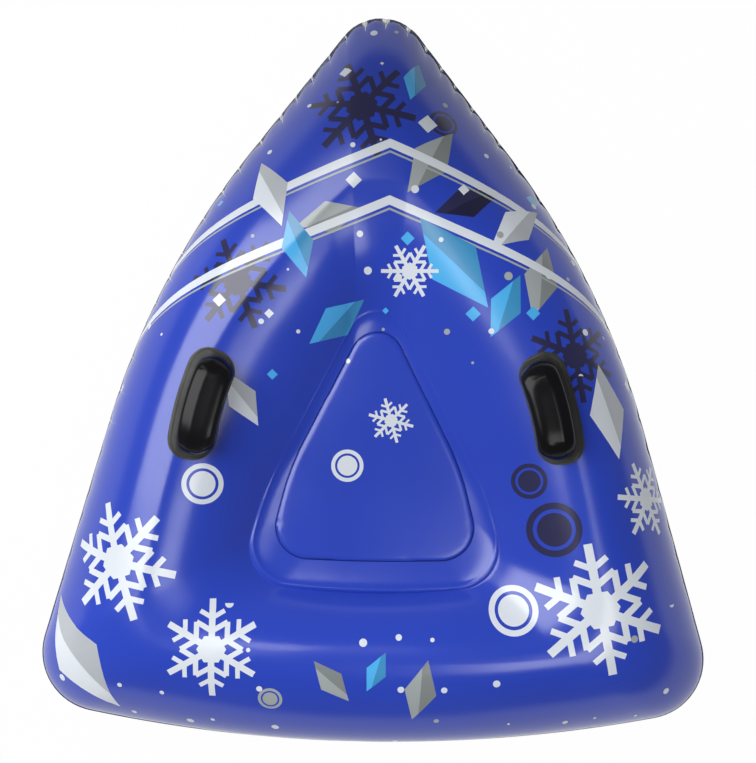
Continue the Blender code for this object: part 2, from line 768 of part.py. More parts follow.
def add_valve_insert(seat):
    """The screw-in ring with the spoked seat of the one-way disc."""
    floor_top = INSERT_BASE + INSERT_FLOOR
    profile = (
        (INSERT_SEAT_RADIUS, INSERT_BASE), (VALVE_BORE_RADIUS, INSERT_BASE), (VALVE_BORE_RADIUS, HEAD_BASE),
        (INSERT_HEAD_RADIUS, HEAD_BASE), (INSERT_HEAD_RADIUS, HEAD_TOP), (INSERT_NECK_RADIUS, HEAD_TOP),
        (INSERT_NECK_RADIUS, NECK_TOP), (INSERT_LIP_RADIUS, NECK_TOP), (INSERT_LIP_RADIUS, INSERT_TOP),
        (INSERT_BORE_RADIUS, INSERT_TOP), (INSERT_BORE_RADIUS, floor_top), (INSERT_SEAT_RADIUS, floor_top),
    )
    insert = add_object("valve_insert", turned(profile), VALVE_PLASTIC, seat)
    hub_profile = ring_profile(HUB_HOLE_RADIUS, HUB_RADIUS, INSERT_BASE, floor_top)
    hub = add_object("valve_hub", turned(hub_profile), VALVE_PLASTIC, seat)
    boolean(insert, hub, "UNION")
    inner = (HUB_HOLE_RADIUS + HUB_RADIUS) / 2
    outer = (INSERT_SEAT_RADIUS + VALVE_BORE_RADIUS) / 2
    rib = INSERT_FLOOR * SPOKE_INSET_SHARE
    for index in range(SPOKE_COUNT):
        low = (inner, -SPOKE_WIDTH / 2, INSERT_BASE + rib)
        high = (outer, SPOKE_WIDTH / 2, floor_top - rib)
        bm = block(low, high)
        turn = Matrix.Rotation(2 * math.pi * index / SPOKE_COUNT, 3, "Z")
        bmesh.ops.rotate(bm, cent=(0, 0, 0), matrix=turn, verts=bm.verts)
        spoke = add_object("valve_spoke_" + str(index + 1), bm, VALVE_PLASTIC, seat)
        boolean(insert, spoke, "UNION")


def add_diaphragm(seat):
    """The one-way rubber disc under the spokes, hung on its stalk through the hub."""
    disc_top = INSERT_BASE - FIT_GAP
    floor_top = INSERT_BASE + INSERT_FLOOR
    head_base = floor_top + FIT_GAP + DIAPHRAGM_TRAVEL
    profile = (
        (0, disc_top - DIAPHRAGM_THICKNESS), (DIAPHRAGM_RADIUS, disc_top - DIAPHRAGM_THICKNESS),
        (DIAPHRAGM_RADIUS, disc_top), (STALK_RADIUS, disc_top), (STALK_RADIUS, head_base),
        (STALK_HEAD_RADIUS, head_base), (0, head_base + STALK_HEAD_HEIGHT),
    )
    add_object("valve_diaphragm", turned(profile), SEAL_RUBBER, seat)


def add_tether_ring(seat):
    """The ring round the insert's neck, with the tab that the cap's strap bends at."""
    base = HEAD_TOP + FIT_GAP
    top = NECK_TOP - FIT_GAP
    profile = ring_profile(INSERT_NECK_RADIUS + FIT_GAP, TETHER_RADIUS, base, top)
    ring = add_object("valve_tether_ring", turned(profile), VALVE_PLASTIC, seat)
    low = ((INSERT_NECK_RADIUS + TETHER_RADIUS) / 2, -TETHER_TAB_WIDTH / 2, base)
    high = (TETHER_END, TETHER_TAB_WIDTH / 2, top)
    tab = add_object("tether_tab", block(low, high), VALVE_PLASTIC, seat)
    boolean(ring, tab, "UNION")


def add_cap_hinge(seat):
    """The empty at the bend of the cap's strap, with the place of the valve's seat from there."""
    hinge = bpy.data.objects.new("cap_hinge", None)
    hinge.location = (HINGE_X, 0, HINGE_Z)
    hinge.parent = seat
    bpy.context.scene.collection.objects.link(hinge)
    return hinge


def add_cap_piece(name, bm, finish, hinge):
    """A piece that swings with the cap, made in the valve's own coordinates."""
    piece = add_object(name, bm, finish, hinge)
    piece.location = -hinge.location
    return piece


def add_valve_cap(seat):
    """The stopper, its finger tab and the strap that it swings on, and its seal."""
    plug_base = INSERT_TOP - CAP_PLUG_DEPTH
    profile = (
        (0, plug_base), (CAP_PLUG_RADIUS - CAP_PLUG_TAPER, plug_base), (CAP_PLUG_RADIUS, INSERT_TOP),
        (CAP_PLUG_RADIUS, CAP_BASE), (CAP_RADIUS, CAP_BASE), (CAP_RADIUS, CAP_TOP), (0, CAP_TOP),
    )
    hinge = add_cap_hinge(seat)
    cap = add_cap_piece("valve_cap", turned(profile), VALVE_PLASTIC, hinge)
    rib = CAP_THICKNESS * CAP_STRAP_INSET_SHARE
    low = CAP_BASE + rib
    high = CAP_TOP - rib
    root = CAP_RADIUS - CAP_ROOT_OVERLAP
    leg_start = TETHER_END + FIT_GAP
    leg_end = leg_start + CAP_STRAP_THICKNESS
    leg_side = TETHER_TAB_WIDTH / 2
    strap_side = leg_side - rib
    tab_side = CAP_TAB_WIDTH / 2
    parts = (
        ("cap_strap_leg", (leg_start, -leg_side, HINGE_Z), (leg_end, leg_side, high)),
        ("cap_strap", (root, -strap_side, low), (leg_end - rib, strap_side, high - rib)),
        ("cap_finger_tab", (-CAP_RADIUS - CAP_TAB_REACH, -tab_side, low), (-root, tab_side, high)),
    )
    for name, near, far in parts:
        boolean(cap, add_cap_piece(name, block(near, far), VALVE_PLASTIC, hinge), "UNION")
    inner = CAP_PLUG_RADIUS + FIT_GAP
    seal = ring_profile(inner, inner + CAP_SEAL_WIDTH, CAP_SEAL_BASE, CAP_SEAL_BASE + SEAL_THICKNESS)
    add_cap_piece("valve_cap_seal", turned(seal), SEAL_RUBBER, hinge)


def main():
    """Builds the sled."""
    clear_scene()
    add_top_skin()
    seat = add_valve_seat()
    add_bottom_skin(seat)
    add_seat_floor()
    add_seat_pad()
    add_seat_web()
    add_floor_beams()
    sheet = top_sheet()
    skin = Surface(sheet)
    add_handle(1, "right", skin)
    add_handle(-1, "left", skin)
    sheet.free()
    add_valve_flange(seat)
    add_insert_seal(seat)
    add_valve_insert(seat)
    add_diaphragm(seat)
    add_tether_ring(seat)
    add_valve_cap(seat)
    bpy.context.view_layer.update()


main()
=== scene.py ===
"""Inflatable snow sled: the detailed sheets, pad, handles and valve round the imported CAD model.

Laid out as a Blender add-on and run as a script. Metres, +Z up, nose towards +Y.
"""

import math
import random
from collections import namedtuple
from functools import lru_cache, partialmethod

import bmesh
import bpy
from bpy.props import FloatProperty, FloatVectorProperty, IntProperty, PointerProperty
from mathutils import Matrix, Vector, noise
from mathutils.bvhtree import BVHTree


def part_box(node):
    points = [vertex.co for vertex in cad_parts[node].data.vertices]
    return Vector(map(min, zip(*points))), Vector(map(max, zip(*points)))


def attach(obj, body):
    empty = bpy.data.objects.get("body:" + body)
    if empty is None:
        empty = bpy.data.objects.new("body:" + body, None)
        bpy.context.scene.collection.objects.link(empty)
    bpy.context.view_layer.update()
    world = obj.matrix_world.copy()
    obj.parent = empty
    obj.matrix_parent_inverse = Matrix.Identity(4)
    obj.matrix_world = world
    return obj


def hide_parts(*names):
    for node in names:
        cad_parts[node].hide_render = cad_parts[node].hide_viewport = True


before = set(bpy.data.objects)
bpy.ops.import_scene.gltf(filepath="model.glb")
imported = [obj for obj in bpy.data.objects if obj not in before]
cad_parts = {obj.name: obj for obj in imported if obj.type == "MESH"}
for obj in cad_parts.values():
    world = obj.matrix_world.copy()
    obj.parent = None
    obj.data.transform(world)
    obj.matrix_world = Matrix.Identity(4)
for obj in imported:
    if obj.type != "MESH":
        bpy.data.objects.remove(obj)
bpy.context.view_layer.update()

bl_info = {
    "name": "Inflatable snow sled",
    "version": (1, 0, 0),
    "blender": (4, 5, 0),
    "location": "3D View > Sidebar > Snow sled",
    "description": "Builds the sheets, pad, handles, valve and studio of an inflatable snow sled",
    "category": "Object",
}

# Levels and films, as the frame has them
WELD_WIDTH = 0.009
FIT_GAP = 0.0003
SEAM_HEIGHT = 0.106
RIDGE_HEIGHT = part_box("top_skin")[1].z
SEAT_DEPTH = 0.062
CREASE_HEIGHT = RIDGE_HEIGHT - SEAT_DEPTH
ROLL_FALL = 0.011
PAD_WELD_HEIGHT = CREASE_HEIGHT - ROLL_FALL
TOP_FILM = 0.0008
BOTTOM_FILM = 0.0012
WEB_FILM = 0.0008
TOP_FLANGE_HEIGHT = SEAM_HEIGHT + FIT_GAP / 2 + TOP_FILM
BOTTOM_FLANGE_HEIGHT = SEAM_HEIGHT - FIT_GAP / 2 - BOTTOM_FILM

# Rounded triangles of the weld's edge, the seat's crease and the pad, as the frame has them
Outline = namedtuple(
    "Outline",
    "nose_y rear_y half_width nose_radius flank_angle side_angle shoulder_radius corner_radius bow_radius",
)
EDGE = Outline(
    nose_y=0.547, rear_y=-0.547, half_width=0.5, nose_radius=0.072, flank_angle=math.radians(38),
    side_angle=math.radians(16), shoulder_radius=1.2, corner_radius=0.09, bow_radius=2.2,
)
CREASE = Outline(
    nose_y=0.105, rear_y=-0.317, half_width=0.185, nose_radius=0.045, flank_angle=math.radians(27),
    side_angle=math.radians(13), shoulder_radius=0.5, corner_radius=0.062, bow_radius=1.2,
)
PAD = Outline(
    nose_y=0.072, rear_y=-0.270, half_width=0.148, nose_radius=0.040, flank_angle=math.radians(27),
    side_angle=math.radians(14), shoulder_radius=0.4, corner_radius=0.050, bow_radius=2.8,
)
PAD_MIDDLE = Vector((0, -0.14))
BEND_SHARE = 0.3
FILLET_LIMIT_SHARE = 0.98
SIDE_WAY = 0.5

# Values at nose, side, corner and rear. Ridge and keel lie at shares of the way from the seam to the crease
RIDGE_SHARES = (0.55, 0.40, 0.49, 0.55)
KEEL_SHARES = (0.66, 0.44, 0.52, 0.50)
FULLNESS_SHARES = (0.80, 0.50, 0.72, 0.52)
INNER_TURNS = (0.10, 0.10, 0.18, 0.30)
CREASE_SOFTNESSES = (0.010, 0.006, 0.0022, 0.0006)
ROLL_RISES = (0, 0.0001, 0.0024, 0.0048)
FLANGE_WIDTHS = (0.0052, 0.0028, 0.0015, 0.0015)

# Inner wall, shelf by the crease and soft roll
INNER_EVEN_FALL = 0.55
INNER_CUBIC_FALL = 0.517
INNER_WAVE_POWER = 4
STEEPNESS_REACH = 0.02
SHELF_SLOPE = 0.17
ROLL_CREST_SHARE = 0.14
ROLL_CREST_POWER = 2.2
ROLL_SHOULDER_SHARE = 0.998
ROLL_SHOULDER_FALL = 0.0058
ROLL_FLATNESS = 0.6

# Underside: the angle over which it takes up the flange's step, and the groove that the web draws into it
KEEL_STEP_ANGLE = math.radians(20)
GROOVE_DEPTH = 0.0035
GROOVE_OUTER_SHARE = 0.06
GROOVE_INNER_SHARE = 0.09

# Rows and stations of the sheets
FLANGE_ROW_SHARES = (0, 0.4, 0.8)
OUTER_ROWS = 22
OUTER_CROWDING = 1.7
INNER_ROW_SHARES = (
    0.03, 0.06, 0.10, 0.15, 0.21, 0.30, 0.40, 0.50, 0.60, 0.70, 0.79, 0.87, 0.93, 0.97, 0.99, 1,
)
ROLL_ROW_SHARES = (
    0.01, 0.025, 0.045, 0.07, 0.10, 0.14, 0.20, 0.28, 0.38, 0.50, 0.62, 0.74, 0.84, 0.91, 0.96, 0.985,
    0.998, 0.9995, 1,
)
KEEL_ANGLES = (
    1, 3, 6, 10, 14, 19, 23, 26, 28.5, 31, 33.5, 36, 38.5, 41, 43.5, 46, 49, 53, 58, 64, 71, 79, 90,
)
FLAT_ROW_SHARES = (0.30, 0.60, 0.80, 0.90, 0.95, 0.98, 1)
FLOOR_ROW_SHARES = (0.03, 0.07, 0.13, 0.21, 0.30, 0.40, 0.50, 0.60, 0.70, 0.80, 0.90, 1)
STATION_SPACING = 0.0085
VALVE_STATION_SPACING = 0.0035
VALVE_STATION_REACH = 0.036
LEAST_STATION_SPACING = 0.0006
PLEAT_STATION_OFFSETS = (-0.0045, -0.0022, -0.0009, 0, 0.0009, 0.0022, 0.0045)
RUN_SAMPLES = 900
SHARP_ANGLE = math.radians(60)
SHEET_MERGE = 1e-6

# Puckers of the edge weld. Gaps grow and strengths fall from the nose to the sides and on to the rear
PLEAT_SEED = 11
FIRST_PLEAT_RUN = 0.006
LAST_PLEAT_MARGIN = 0.03
PLEAT_GAPS = (0.028, 0.042)
PLEAT_GAP_GROWTHS = (0.006, 0.022)
PLEAT_STRENGTHS = (0.65, 1.0)
SIDE_PLEAT_LOSS = 0.45
REAR_PLEAT_LOSS = 0.88
PLEAT_FADE_WAYS = (0.55, 0.90)
STATION_PLEAT_STRENGTH = 0.12
WELD_RIPPLE = 0.0012
LOBE_PEAK_HEIGHT = 0.007
LOBE_POWER = 0.45
LOBE_POWER_GROWTH = 0.5
DENT_HEIGHT = 0.008
DENT_POWER = 0.6
FILM_WAVE = 0.0007
FILM_WAVE_SCALE = 9

# Films inside the tube
WEB_FIRST_WAY = 4 / 28
WEB_STEPS = 160
WEB_FOOT_GAP = 0.0036
BEAM_STEPS = 40
STRIP_ROWS = 8
SEAT_FLOOR_STEPS = 120
SEAT_FLOOR_ROW_SHARES = (0, 0.02, 0.1, 0.25, 0.45, 0.7, 1)

# Seat pad
PAD_MARGIN = 0.0002
PAD_THICKNESS = 0.0052
PAD_EDGE_RADIUS = 0.0018
PAD_EDGE_STEPS = 8
PAD_FOOT_BEVEL = 0.0006
PAD_BULGE = 0.0010
PAD_BULGE_START_SHARE = 0.6
PAD_BULGE_START_HEIGHT = 0.0016
PAD_CROWN = 0.0008
PAD_CROWN_STEEPNESS = 1.3
PAD_STEPS = 220
PAD_UNDER_SHARE = 0.4
PAD_TOP_SHARES = (0.03, 0.08, 0.15, 0.24, 0.35, 0.48, 0.62, 0.78, 0.9, 1)
PAD_VOXEL = 0.0027
PAD_PRESSURE = 4
PAD_FRAMES = 20
PAD_QUALITY = 6
PAD_POINT_MASS = 0.3
PAD_STRETCH_STIFFNESS = 25
PAD_BEND_STIFFNESS = 2.0
PAD_SWELL_LIMIT = 0.0006
PAD_SMOOTHINGS = 3
PAD_SMOOTHING = 0.5

# Handles
HANDLE_X = 0.2575
HANDLE_Y = -0.038
HANDLE_TILT = math.radians(15)
HANDLE_BOW_RADIUS = 0.45
PATCH_LENGTH = 0.166
PATCH_WIDTH = 0.070
PATCH_CORNER_RADIUS = 0.031
PATCH_FILM = 0.0015
PATCH_GAP = 0.0008
PATCH_STEPS = 72
PATCH_LANES = 20
GRIP_LENGTH = 0.150
GRIP_WIDTH = 0.055
GRIP_HEIGHT = 0.044
GRIP_FOOT = 0.028
GRIP_THICKNESS = 0.017
GRIP_ARCH_SHARE = 0.52
GRIP_SECTION_SHARE = 0.72
GRIP_INSET = 0.0070
GRIP_END_RADIUS = 0.025
GRIP_LEVEL_HEIGHT = 0.018
GRIP_UPRIGHTNESS = 2
GRIP_TOP_STEEPNESS = 3
GRIP_RIDGE = 0.0012
GRIP_RIDGE_PLACE = 0.38
GRIP_RIDGE_WIDTH = 0.13
GRIP_WRINKLE = 0.0012
GRIP_WRINKLE_SCALE = 150
GRIP_WRINKLE_START = 0.036
GRIP_WRINKLE_FADE = 0.022
GRIP_SIDES = 40
GRIP_STEPS = 64
SOLE_SHARES = (0, 0.3, 0.6, 0.85)
HANDLE_MERGE = 1e-5

# Valve seat, as the frame has it
VALVE_PLACE = Vector((0, -0.514575, 0.041459))
VALVE_OUT = Vector((0, -0.777531, -0.628845))
VALVE_HOLE_RADIUS = 0.0168

# Films and plastics: roughness and its spread, heights of ripples and grain, darkest share, and IOR
USUAL_IOR = 1.5
Film = namedtuple("Film", "roughness spread wave grain shade ior", defaults=(0.85, USUAL_IOR))
PRINTED_FILM = Film(0.18, 0.03, 0.00010, 0.000012, ior=1.54)
SLIDING_FILM = Film(0.34, 0.06, 0.00015, 0.00003)
INNER_FILM = Film(0.36, 0.05, 0.0001, 0.00002)
GRIP_VINYL = Film(0.20, 0.04, 0.0001, 0.00002, 0.7, 1.27)
VALVE_PLASTIC = Film(0.38, 0.05, 0.00005, 0.00002, 0.7)
SEAL_RUBBER = Film(0.6, 0.08, 0.00005, 0.00002, 0.8)
INNER_COLOUR = (0.55, 0.60, 0.68, 1)
PLASTIC_COLOUR = (0.010, 0.010, 0.012, 1)
RUBBER_COLOUR = (0.30, 0.30, 0.31, 1)
NOISE_SPAN = (0.3, 0.7)
FINE_DETAIL = 3.0
HAZE_SCALE = 5.0
RIPPLE_SCALE = 34.0
GRAIN_SCALE = 700.0
TONE_SCALE = 8.0
TONE_SPAN = (0.35, 0.65)

# Doublers. Their rim value is 0 near the middle line and 1 at the edge
PATCH_IOR = 1.38
PATCH_RIM_PLACES = (0.55, 0.95)
PATCH_LINE_PLACE = 0.86
PATCH_LINE_WIDTH = 0.05
PATCH_LINE_HEIGHT = 0.0003
PATCH_TONE_SCALE = 60.0
PATCH_TONE_SPAN = (0.45, 0.75)
PATCH_SHADE = 0.6
PATCH_GRAIN_SCALE = 600.0
PATCH_GRAIN = 0.00003
PATCH_ROUGHNESSES = (0.34, 0.44)

# Painted shade that darkens the print towards the nose and painted light that brightens it towards the rear,
# as shares of its colours, and where each changes
NOSE_PAINTED_SHADE = 0.56
NOSE_PAINTED_SHADE_PLACES = (0.18, 0.46)
REAR_PAINTED_LIGHT = 1.12
REAR_PAINTED_LIGHT_PLACES = (-0.40, -0.15)
PRINT_TONE_SCALE = 6.0
PRINT_TONES = (0.97, 1.03)

# Weld's flange painted dark as the shadow under the overhanging lobes, and whitened creases, measured inwards
# from the flange's inner side. A crease's half width is given where it starts and where it has tapered
PAINTED_WELD_SHADOW_END = -0.0002
CREASE_PLACES = (-0.001, 0.0045)
CREASE_END = 0.014
CREASE_HALF_WIDTHS = (0.0052, 0.0010)
CREASE_LEAST_MARK = 0.4
CREASE_MARK_POWER = 2.0

# Motifs of the print, with sizes as shares of the motif's own
CRYSTAL_ARM_WIDTH = 0.065
CRYSTAL_HEXAGON = 0.26
CRYSTAL_TWIGS = ((0.36, 0.36, 0.052), (0.62, 0.28, 0.046))
SHARD_SLIMNESS = 2.1
SHARD_FACET_SLOPE = 0.16
SHARD_SHADE = 0.62
RING_DISC = 0.62
RING_RADIUS = 0.88
RING_WIDTH = 0.12

# Chevrons over the nose
CHEVRON_X = 0.015
CHEVRON_APEXES = (0.345, 0.262)
CHEVRON_SLOPE = 0.42
CHEVRON_REACH = 0.0068
CHEVRON_LINE_PLACE = -0.0125
CHEVRON_LINE_REACH = 0.0016

# Random snow: cells per metre, distance measure, least and most reach, and the share of cells that have it
FLAKES = (15.0, "EUCLIDEAN", 0.0016, 0.0062, 0.5)
CHIPS = (11.0, "MANHATTAN", 0.003, 0.016, 0.34)
SNOW_RANDOMNESS = 0.85
BARE_PLACE = -0.16
BARE_REACH = 0.17
CHIPS_START = -0.02
WHITE_CHIP_SHARE = 0.6
WHITE_FLAKE_SHARE = 0.8

# Motifs in each ink: kind, x, y, size and turn in degrees
MOTIFS = {
    "navy_ink": (
        ("crystal", -0.028, 0.402, 0.082, 12), ("crystal", -0.205, 0.140, 0.072, 8),
        ("crystal", 0.290, 0.040, 0.070, 20), ("shard", 0.130, 0.262, 0.052, 70),
        ("ring", 0.262, -0.215, 0.040, 0), ("ring", 0.225, -0.145, 0.026, 0),
        ("ring", 0.095, 0.385, 0.022, 0),
    ),
    "grey_ink": (
        ("shard", 0.075, 0.322, 0.060, 35), ("shard", 0.240, 0.150, 0.058, 15),
        ("shard", -0.072, 0.236, 0.050, 74), ("shard", 0.070, -0.455, 0.050, 12),
        ("shard", -0.060, -0.440, 0.040, -40), ("ring", -0.150, -0.470, 0.018, 0),
    ),
    "sky_ink": (
        ("shard", 0.110, 0.172, 0.082, -38), ("shard", 0.186, 0.110, 0.050, 25),
        ("shard", -0.118, 0.196, 0.050, -15), ("shard", 0.052, 0.450, 0.036, 10),
        ("shard", -0.060, 0.085, 0.052, 50), ("shard", 0.005, -0.425, 0.032, 25),
    ),
    "white_ink": (
        ("shard", -0.196, -0.030, 0.046, -30), ("shard", 0.205, 0.232, 0.056, 48),
        ("shard", -0.162, 0.278, 0.060, -20), ("shard", 0.345, -0.040, 0.072, -12),
        ("crystal", 0.046, 0.160, 0.042, 0), ("crystal", -0.375, -0.270, 0.088, 12),
        ("crystal", -0.235, -0.395, 0.072, 30), ("crystal", 0.330, -0.330, 0.098, 18),
        ("crystal", 0.415, -0.170, 0.060, 4), ("ring", 0.205, -0.335, 0.036, 0),
        ("ring", -0.252, -0.155, 0.030, 0), ("shard", -0.445, -0.420, 0.100, -35),
        ("crystal", 0.022, -0.060, 0.034, 14), ("ring", -0.042, -0.128, 0.024, 0),
    ),
}

# Studio. A softbox has its name, place, size and the point that it faces, or None for straight down
SOFTBOXES = (
    ("key", (-1.48, 0.60, 2.69), (1.9, 2.5), (0, 0, 0.1)),
    ("rear", (0.76, -1.08, 3.20), (0.92, 0.90), None),
    ("right", (0.80, -0.26, 3.20), (0.66, 0.60), None),
)
CAMERA_X, CAMERA_Y = 0.0018, -0.0023
CAMERA_TURN = math.radians(0.8)
FLOOR_REACH = 12
FLOOR_LEVEL = -0.0005
FLOOR_GLOW_SHARE = 0.985
FLOOR_COLOURS = ((0.80, 0.80, 0.81, 1), (0.82, 0.82, 0.82, 1))
FLOOR_COLOUR_SCALE = 3.0
FLOOR_ROUGHNESSES = (0.7, 0.9)
WHITE = (1, 1, 1, 1)
LOW_SKY_COLOUR = (0.21, 0.21, 0.22, 1)
LOW_SKY_PLACES = (0.02, 0.22)
HIGH_SKY_COLOUR = (0.05, 0.05, 0.06, 1)
HIGH_SKY_PLACES = (0.30, 0.85)

Station = namedtuple("Station", "way edge seam crease weld pad out lobe strength flange pleat_gap pleat_mark")


# Settings

def length_setting(name, description, default):
    """A length that a user can change."""
    return FloatProperty(name=name, description=description, default=default, unit="LENGTH")


def power_setting(name, description, default):
    """A softbox's power in watts."""
    return FloatProperty(name=name, description=description, default=default)


def colour_setting(name, description, *rgb):
    """A colour that a user can change."""
    return FloatVectorProperty(
        name=name, description=description, subtype="COLOR", size=4, default=(*rgb, 1))


class SheetSettings(bpy.types.PropertyGroup):
    """Sizes of the welded sheets that a user would change."""
    lobe_reach: length_setting(
        "Lobe reach", "How far the wall stands out between two puckers of the weld", 0.0046)
    dent_depth: length_setting("Pucker depth", "How far a pucker of the weld is drawn in", 0.0042)
    edge_scallop: length_setting("Edge scallop", "How far the weld's edge is drawn in at a pucker", 0.0018)
    pleat_seed: IntProperty(
        name="Pucker seed", description="Starting number of the random places of the puckers",
        default=PLEAT_SEED)


class ColourSettings(bpy.types.PropertyGroup):
    """Colours of the vinyl, its print and the handles."""
    ground: colour_setting("Ground", "Blue of the printed vinyl", 0.026, 0.062, 0.497)
    white_ink: colour_setting("White ink", "White of the print", 0.73, 0.78, 0.83)
    sky_ink: colour_setting("Light blue ink", "Light blue of the print", 0.08, 0.456, 0.871)
    grey_ink: colour_setting("Grey ink", "Grey of the print", 0.376, 0.413, 0.413)
    navy_ink: colour_setting("Navy ink", "Navy of the print", 0.026, 0.026, 0.08)
    weld: colour_setting("Pucker", "Whitened film of a pucker in the edge weld", 0.52, 0.54, 0.52)
    # The weld colour is painted shadow: the flange is coloured dark for the shade under the overhanging lobes
    weld_film: colour_setting("Weld", "Dark clear film of the edge weld", 0.06, 0.065, 0.10)
    sliding: colour_setting("Sliding sheet", "Dark vinyl of the underside", 0.012, 0.016, 0.045)
    handle: colour_setting("Handle", "Black of the grips", 0.008, 0.008, 0.009)
    patch: colour_setting("Patch", "Dark olive grey of the doublers under the grips", 0.040, 0.043, 0.034)


class StageSettings(bpy.types.PropertyGroup):
    """Sizes and strengths of the studio."""
    camera_height: length_setting("Camera height", "Height of the camera over the floor", 3.1)
    frame_height: length_setting("Frame height", "Length of the picture's height at the seam's level", 1.154)
    key_power: power_setting(
        "Key softbox", "Power of the big softbox over the left of the nose, in watts", 85)
    rear_power: power_setting("Rear softbox", "Power of the softbox behind the right corner, in watts", 12)
    right_power: power_setting("Right softbox", "Power of the softbox over the right side, in watts", 2.4)


# Outlines

def facing(angle):
    """Returns the direction in the plan at an angle from +X."""
    return Vector((math.cos(angle), math.sin(angle)))


def heading(angle):
    """Returns the direction that runs rearwards at an angle from -Y."""
    return Vector((math.sin(angle), -math.cos(angle)))


def line_piece(start, end):
    """A straight piece of an outline, as its measure and its point at a share of its length."""
    return (end - start).length, lambda share: start.lerp(end, share)


def arc_piece(centre, radius, first, last, bend_reach):
    """A round piece of an outline. Its measure grows with its turn."""
    measure = abs(last - first) * (radius + bend_reach)
    return measure, lambda share: centre + radius * facing(first + (last - first) * share)


@lru_cache(maxsize=None)
def half_outline(shape):
    """The right half of a rounded triangle, nose to corner and corner to rear, in pieces."""
    bend_reach = BEND_SHARE * shape.half_width
    corner_x = shape.half_width - shape.corner_radius
    bow_centre = Vector((0, shape.rear_y + shape.bow_radius))
    reach = shape.bow_radius - shape.corner_radius
    corner = Vector((corner_x, bow_centre.y - math.sqrt(reach ** 2 - corner_x ** 2)))
    bow_angle = math.atan2(corner.y - bow_centre.y, corner.x)
    middle_angle = (shape.side_angle + bow_angle) / 2
    nose = Vector((0, shape.nose_y - shape.nose_radius))
    flank_start = nose + shape.nose_radius * facing(shape.flank_angle)
    side_end = corner + shape.corner_radius * facing(shape.side_angle)
    flank = heading(shape.flank_angle)
    side = heading(shape.side_angle)
    span = side_end - flank_start
    cross = flank.x * side.y - side.x * flank.y
    flank_run = (span.x * side.y - side.x * span.y) / cross
    side_run = (flank.x * span.y - span.x * flank.y) / cross
    shoulder = flank_start + flank * flank_run
    half_turn = math.tan((shape.flank_angle - shape.side_angle) / 2)
    trim = min(shape.shoulder_radius * half_turn, FILLET_LIMIT_SHARE * min(flank_run, side_run))
    radius = trim / half_turn
    flank_end = shoulder - flank * trim
    side_start = shoulder + side * trim
    turning = flank_end - radius * facing(shape.flank_angle)
    front = (
        arc_piece(nose, shape.nose_radius, math.pi / 2, shape.flank_angle, bend_reach),
        line_piece(flank_start, flank_end),
        arc_piece(turning, radius, shape.flank_angle, shape.side_angle, bend_reach),
        line_piece(side_start, side_end),
        arc_piece(corner, shape.corner_radius, shape.side_angle, middle_angle, bend_reach),
    )
    rear = (
        arc_piece(corner, shape.corner_radius, middle_angle, bow_angle, bend_reach),
        arc_piece(bow_centre, shape.bow_radius, bow_angle, -math.pi / 2, bend_reach),
    )
    return front, rear


def outline_point(shape, way, side):
    """A point of an outline: way is 0 at the nose, 1 at the rear corner and 2 at the rear's middle."""
    front, rear = half_outline(shape)
    run, share = (front, way) if way <= 1 else (rear, way - 1)
    wanted = sum(measure for measure, _ in run) * share
    for measure, place in run[:-1]:
        if wanted <= measure:
            break
        wanted -= measure
    else:
        measure, place = run[-1]
    point = place(min(wanted / measure, 1))
    return Vector((side * point.x if way > 0 else 0, point.y))


def inset(shape, depth):
    """The outline drawn in by a depth, or let out by a negative one."""
    return shape._replace(
        nose_y=shape.nose_y - depth,
        rear_y=shape.rear_y + depth,
        half_width=shape.half_width - depth,
        nose_radius=shape.nose_radius - depth,
        shoulder_radius=shape.shoulder_radius - depth,
        corner_radius=shape.corner_radius - depth,
        bow_radius=shape.bow_radius - depth,
    )


def eased(part):
    """A smooth step from 0 to 1."""
    part = min(max(part, 0), 1)
    return part * part * (3 - 2 * part)


def between(way, ways):
    """How far a way round the sled is between two ways, as a smooth step."""
    return eased((way - ways[0]) / (ways[1] - ways[0]))


def blended(values, way):
    """A value given at nose, side, corner and rear, eased from one to the next."""
    nose, side, corner, rear = values
    if way < SIDE_WAY:
        return nose + (side - nose) * eased(way / SIDE_WAY)
    if way < 1:
        return side + (corner - side) * eased((way - SIDE_WAY) / (1 - SIDE_WAY))
    return corner + (rear - corner) * eased(way - 1)


# Stations round the sled

@lru_cache(maxsize=None)
def seam_runs():
    """The seam's length from the nose at even ways, nose to the rear's middle."""
    shape = inset(EDGE, WELD_WIDTH)
    runs = [0.0]
    before = outline_point(shape, 0, 1)
    for step in range(1, RUN_SAMPLES + 1):
        point = outline_point(shape, 2 * step / RUN_SAMPLES, 1)
        runs.append(runs[-1] + (point - before).length)
        before = point
    return runs


def way_at(run):
    """The way round the sled at a length along the seam from the nose."""
    runs = seam_runs()
    low, high = 0, RUN_SAMPLES
    while high - low > 1:
        middle = (low + high) // 2
        low, high = (middle, high) if runs[middle] <= run else (low, middle)
    part = (run - runs[low]) / (runs[high] - runs[low])
    return 2 * (low + min(part, 1)) / RUN_SAMPLES


def pleat_places(seed):
    """The puckers of the edge weld, as signed lengths from the nose and strengths."""
    draw = random.Random(seed)
    total = seam_runs()[-1]
    places = [(FIRST_PLEAT_RUN, 1.0)]
    for side in (1, -1):
        run = FIRST_PLEAT_RUN * side
        while run < total - LAST_PLEAT_MARGIN:
            spread = eased(way_at(max(run, 0)) / SIDE_WAY)
            run += draw.uniform(*(gap + more * spread for gap, more in zip(PLEAT_GAPS, PLEAT_GAP_GROWTHS)))
            if run >= total:
                break
            way = way_at(run)
            strength = 1 - SIDE_PLEAT_LOSS * eased(way / SIDE_WAY)
            strength *= 1 - REAR_PLEAT_LOSS * between(way, PLEAT_FADE_WAYS)
            places.append((side * run, strength * draw.uniform(*PLEAT_STRENGTHS)))
    return sorted(places)


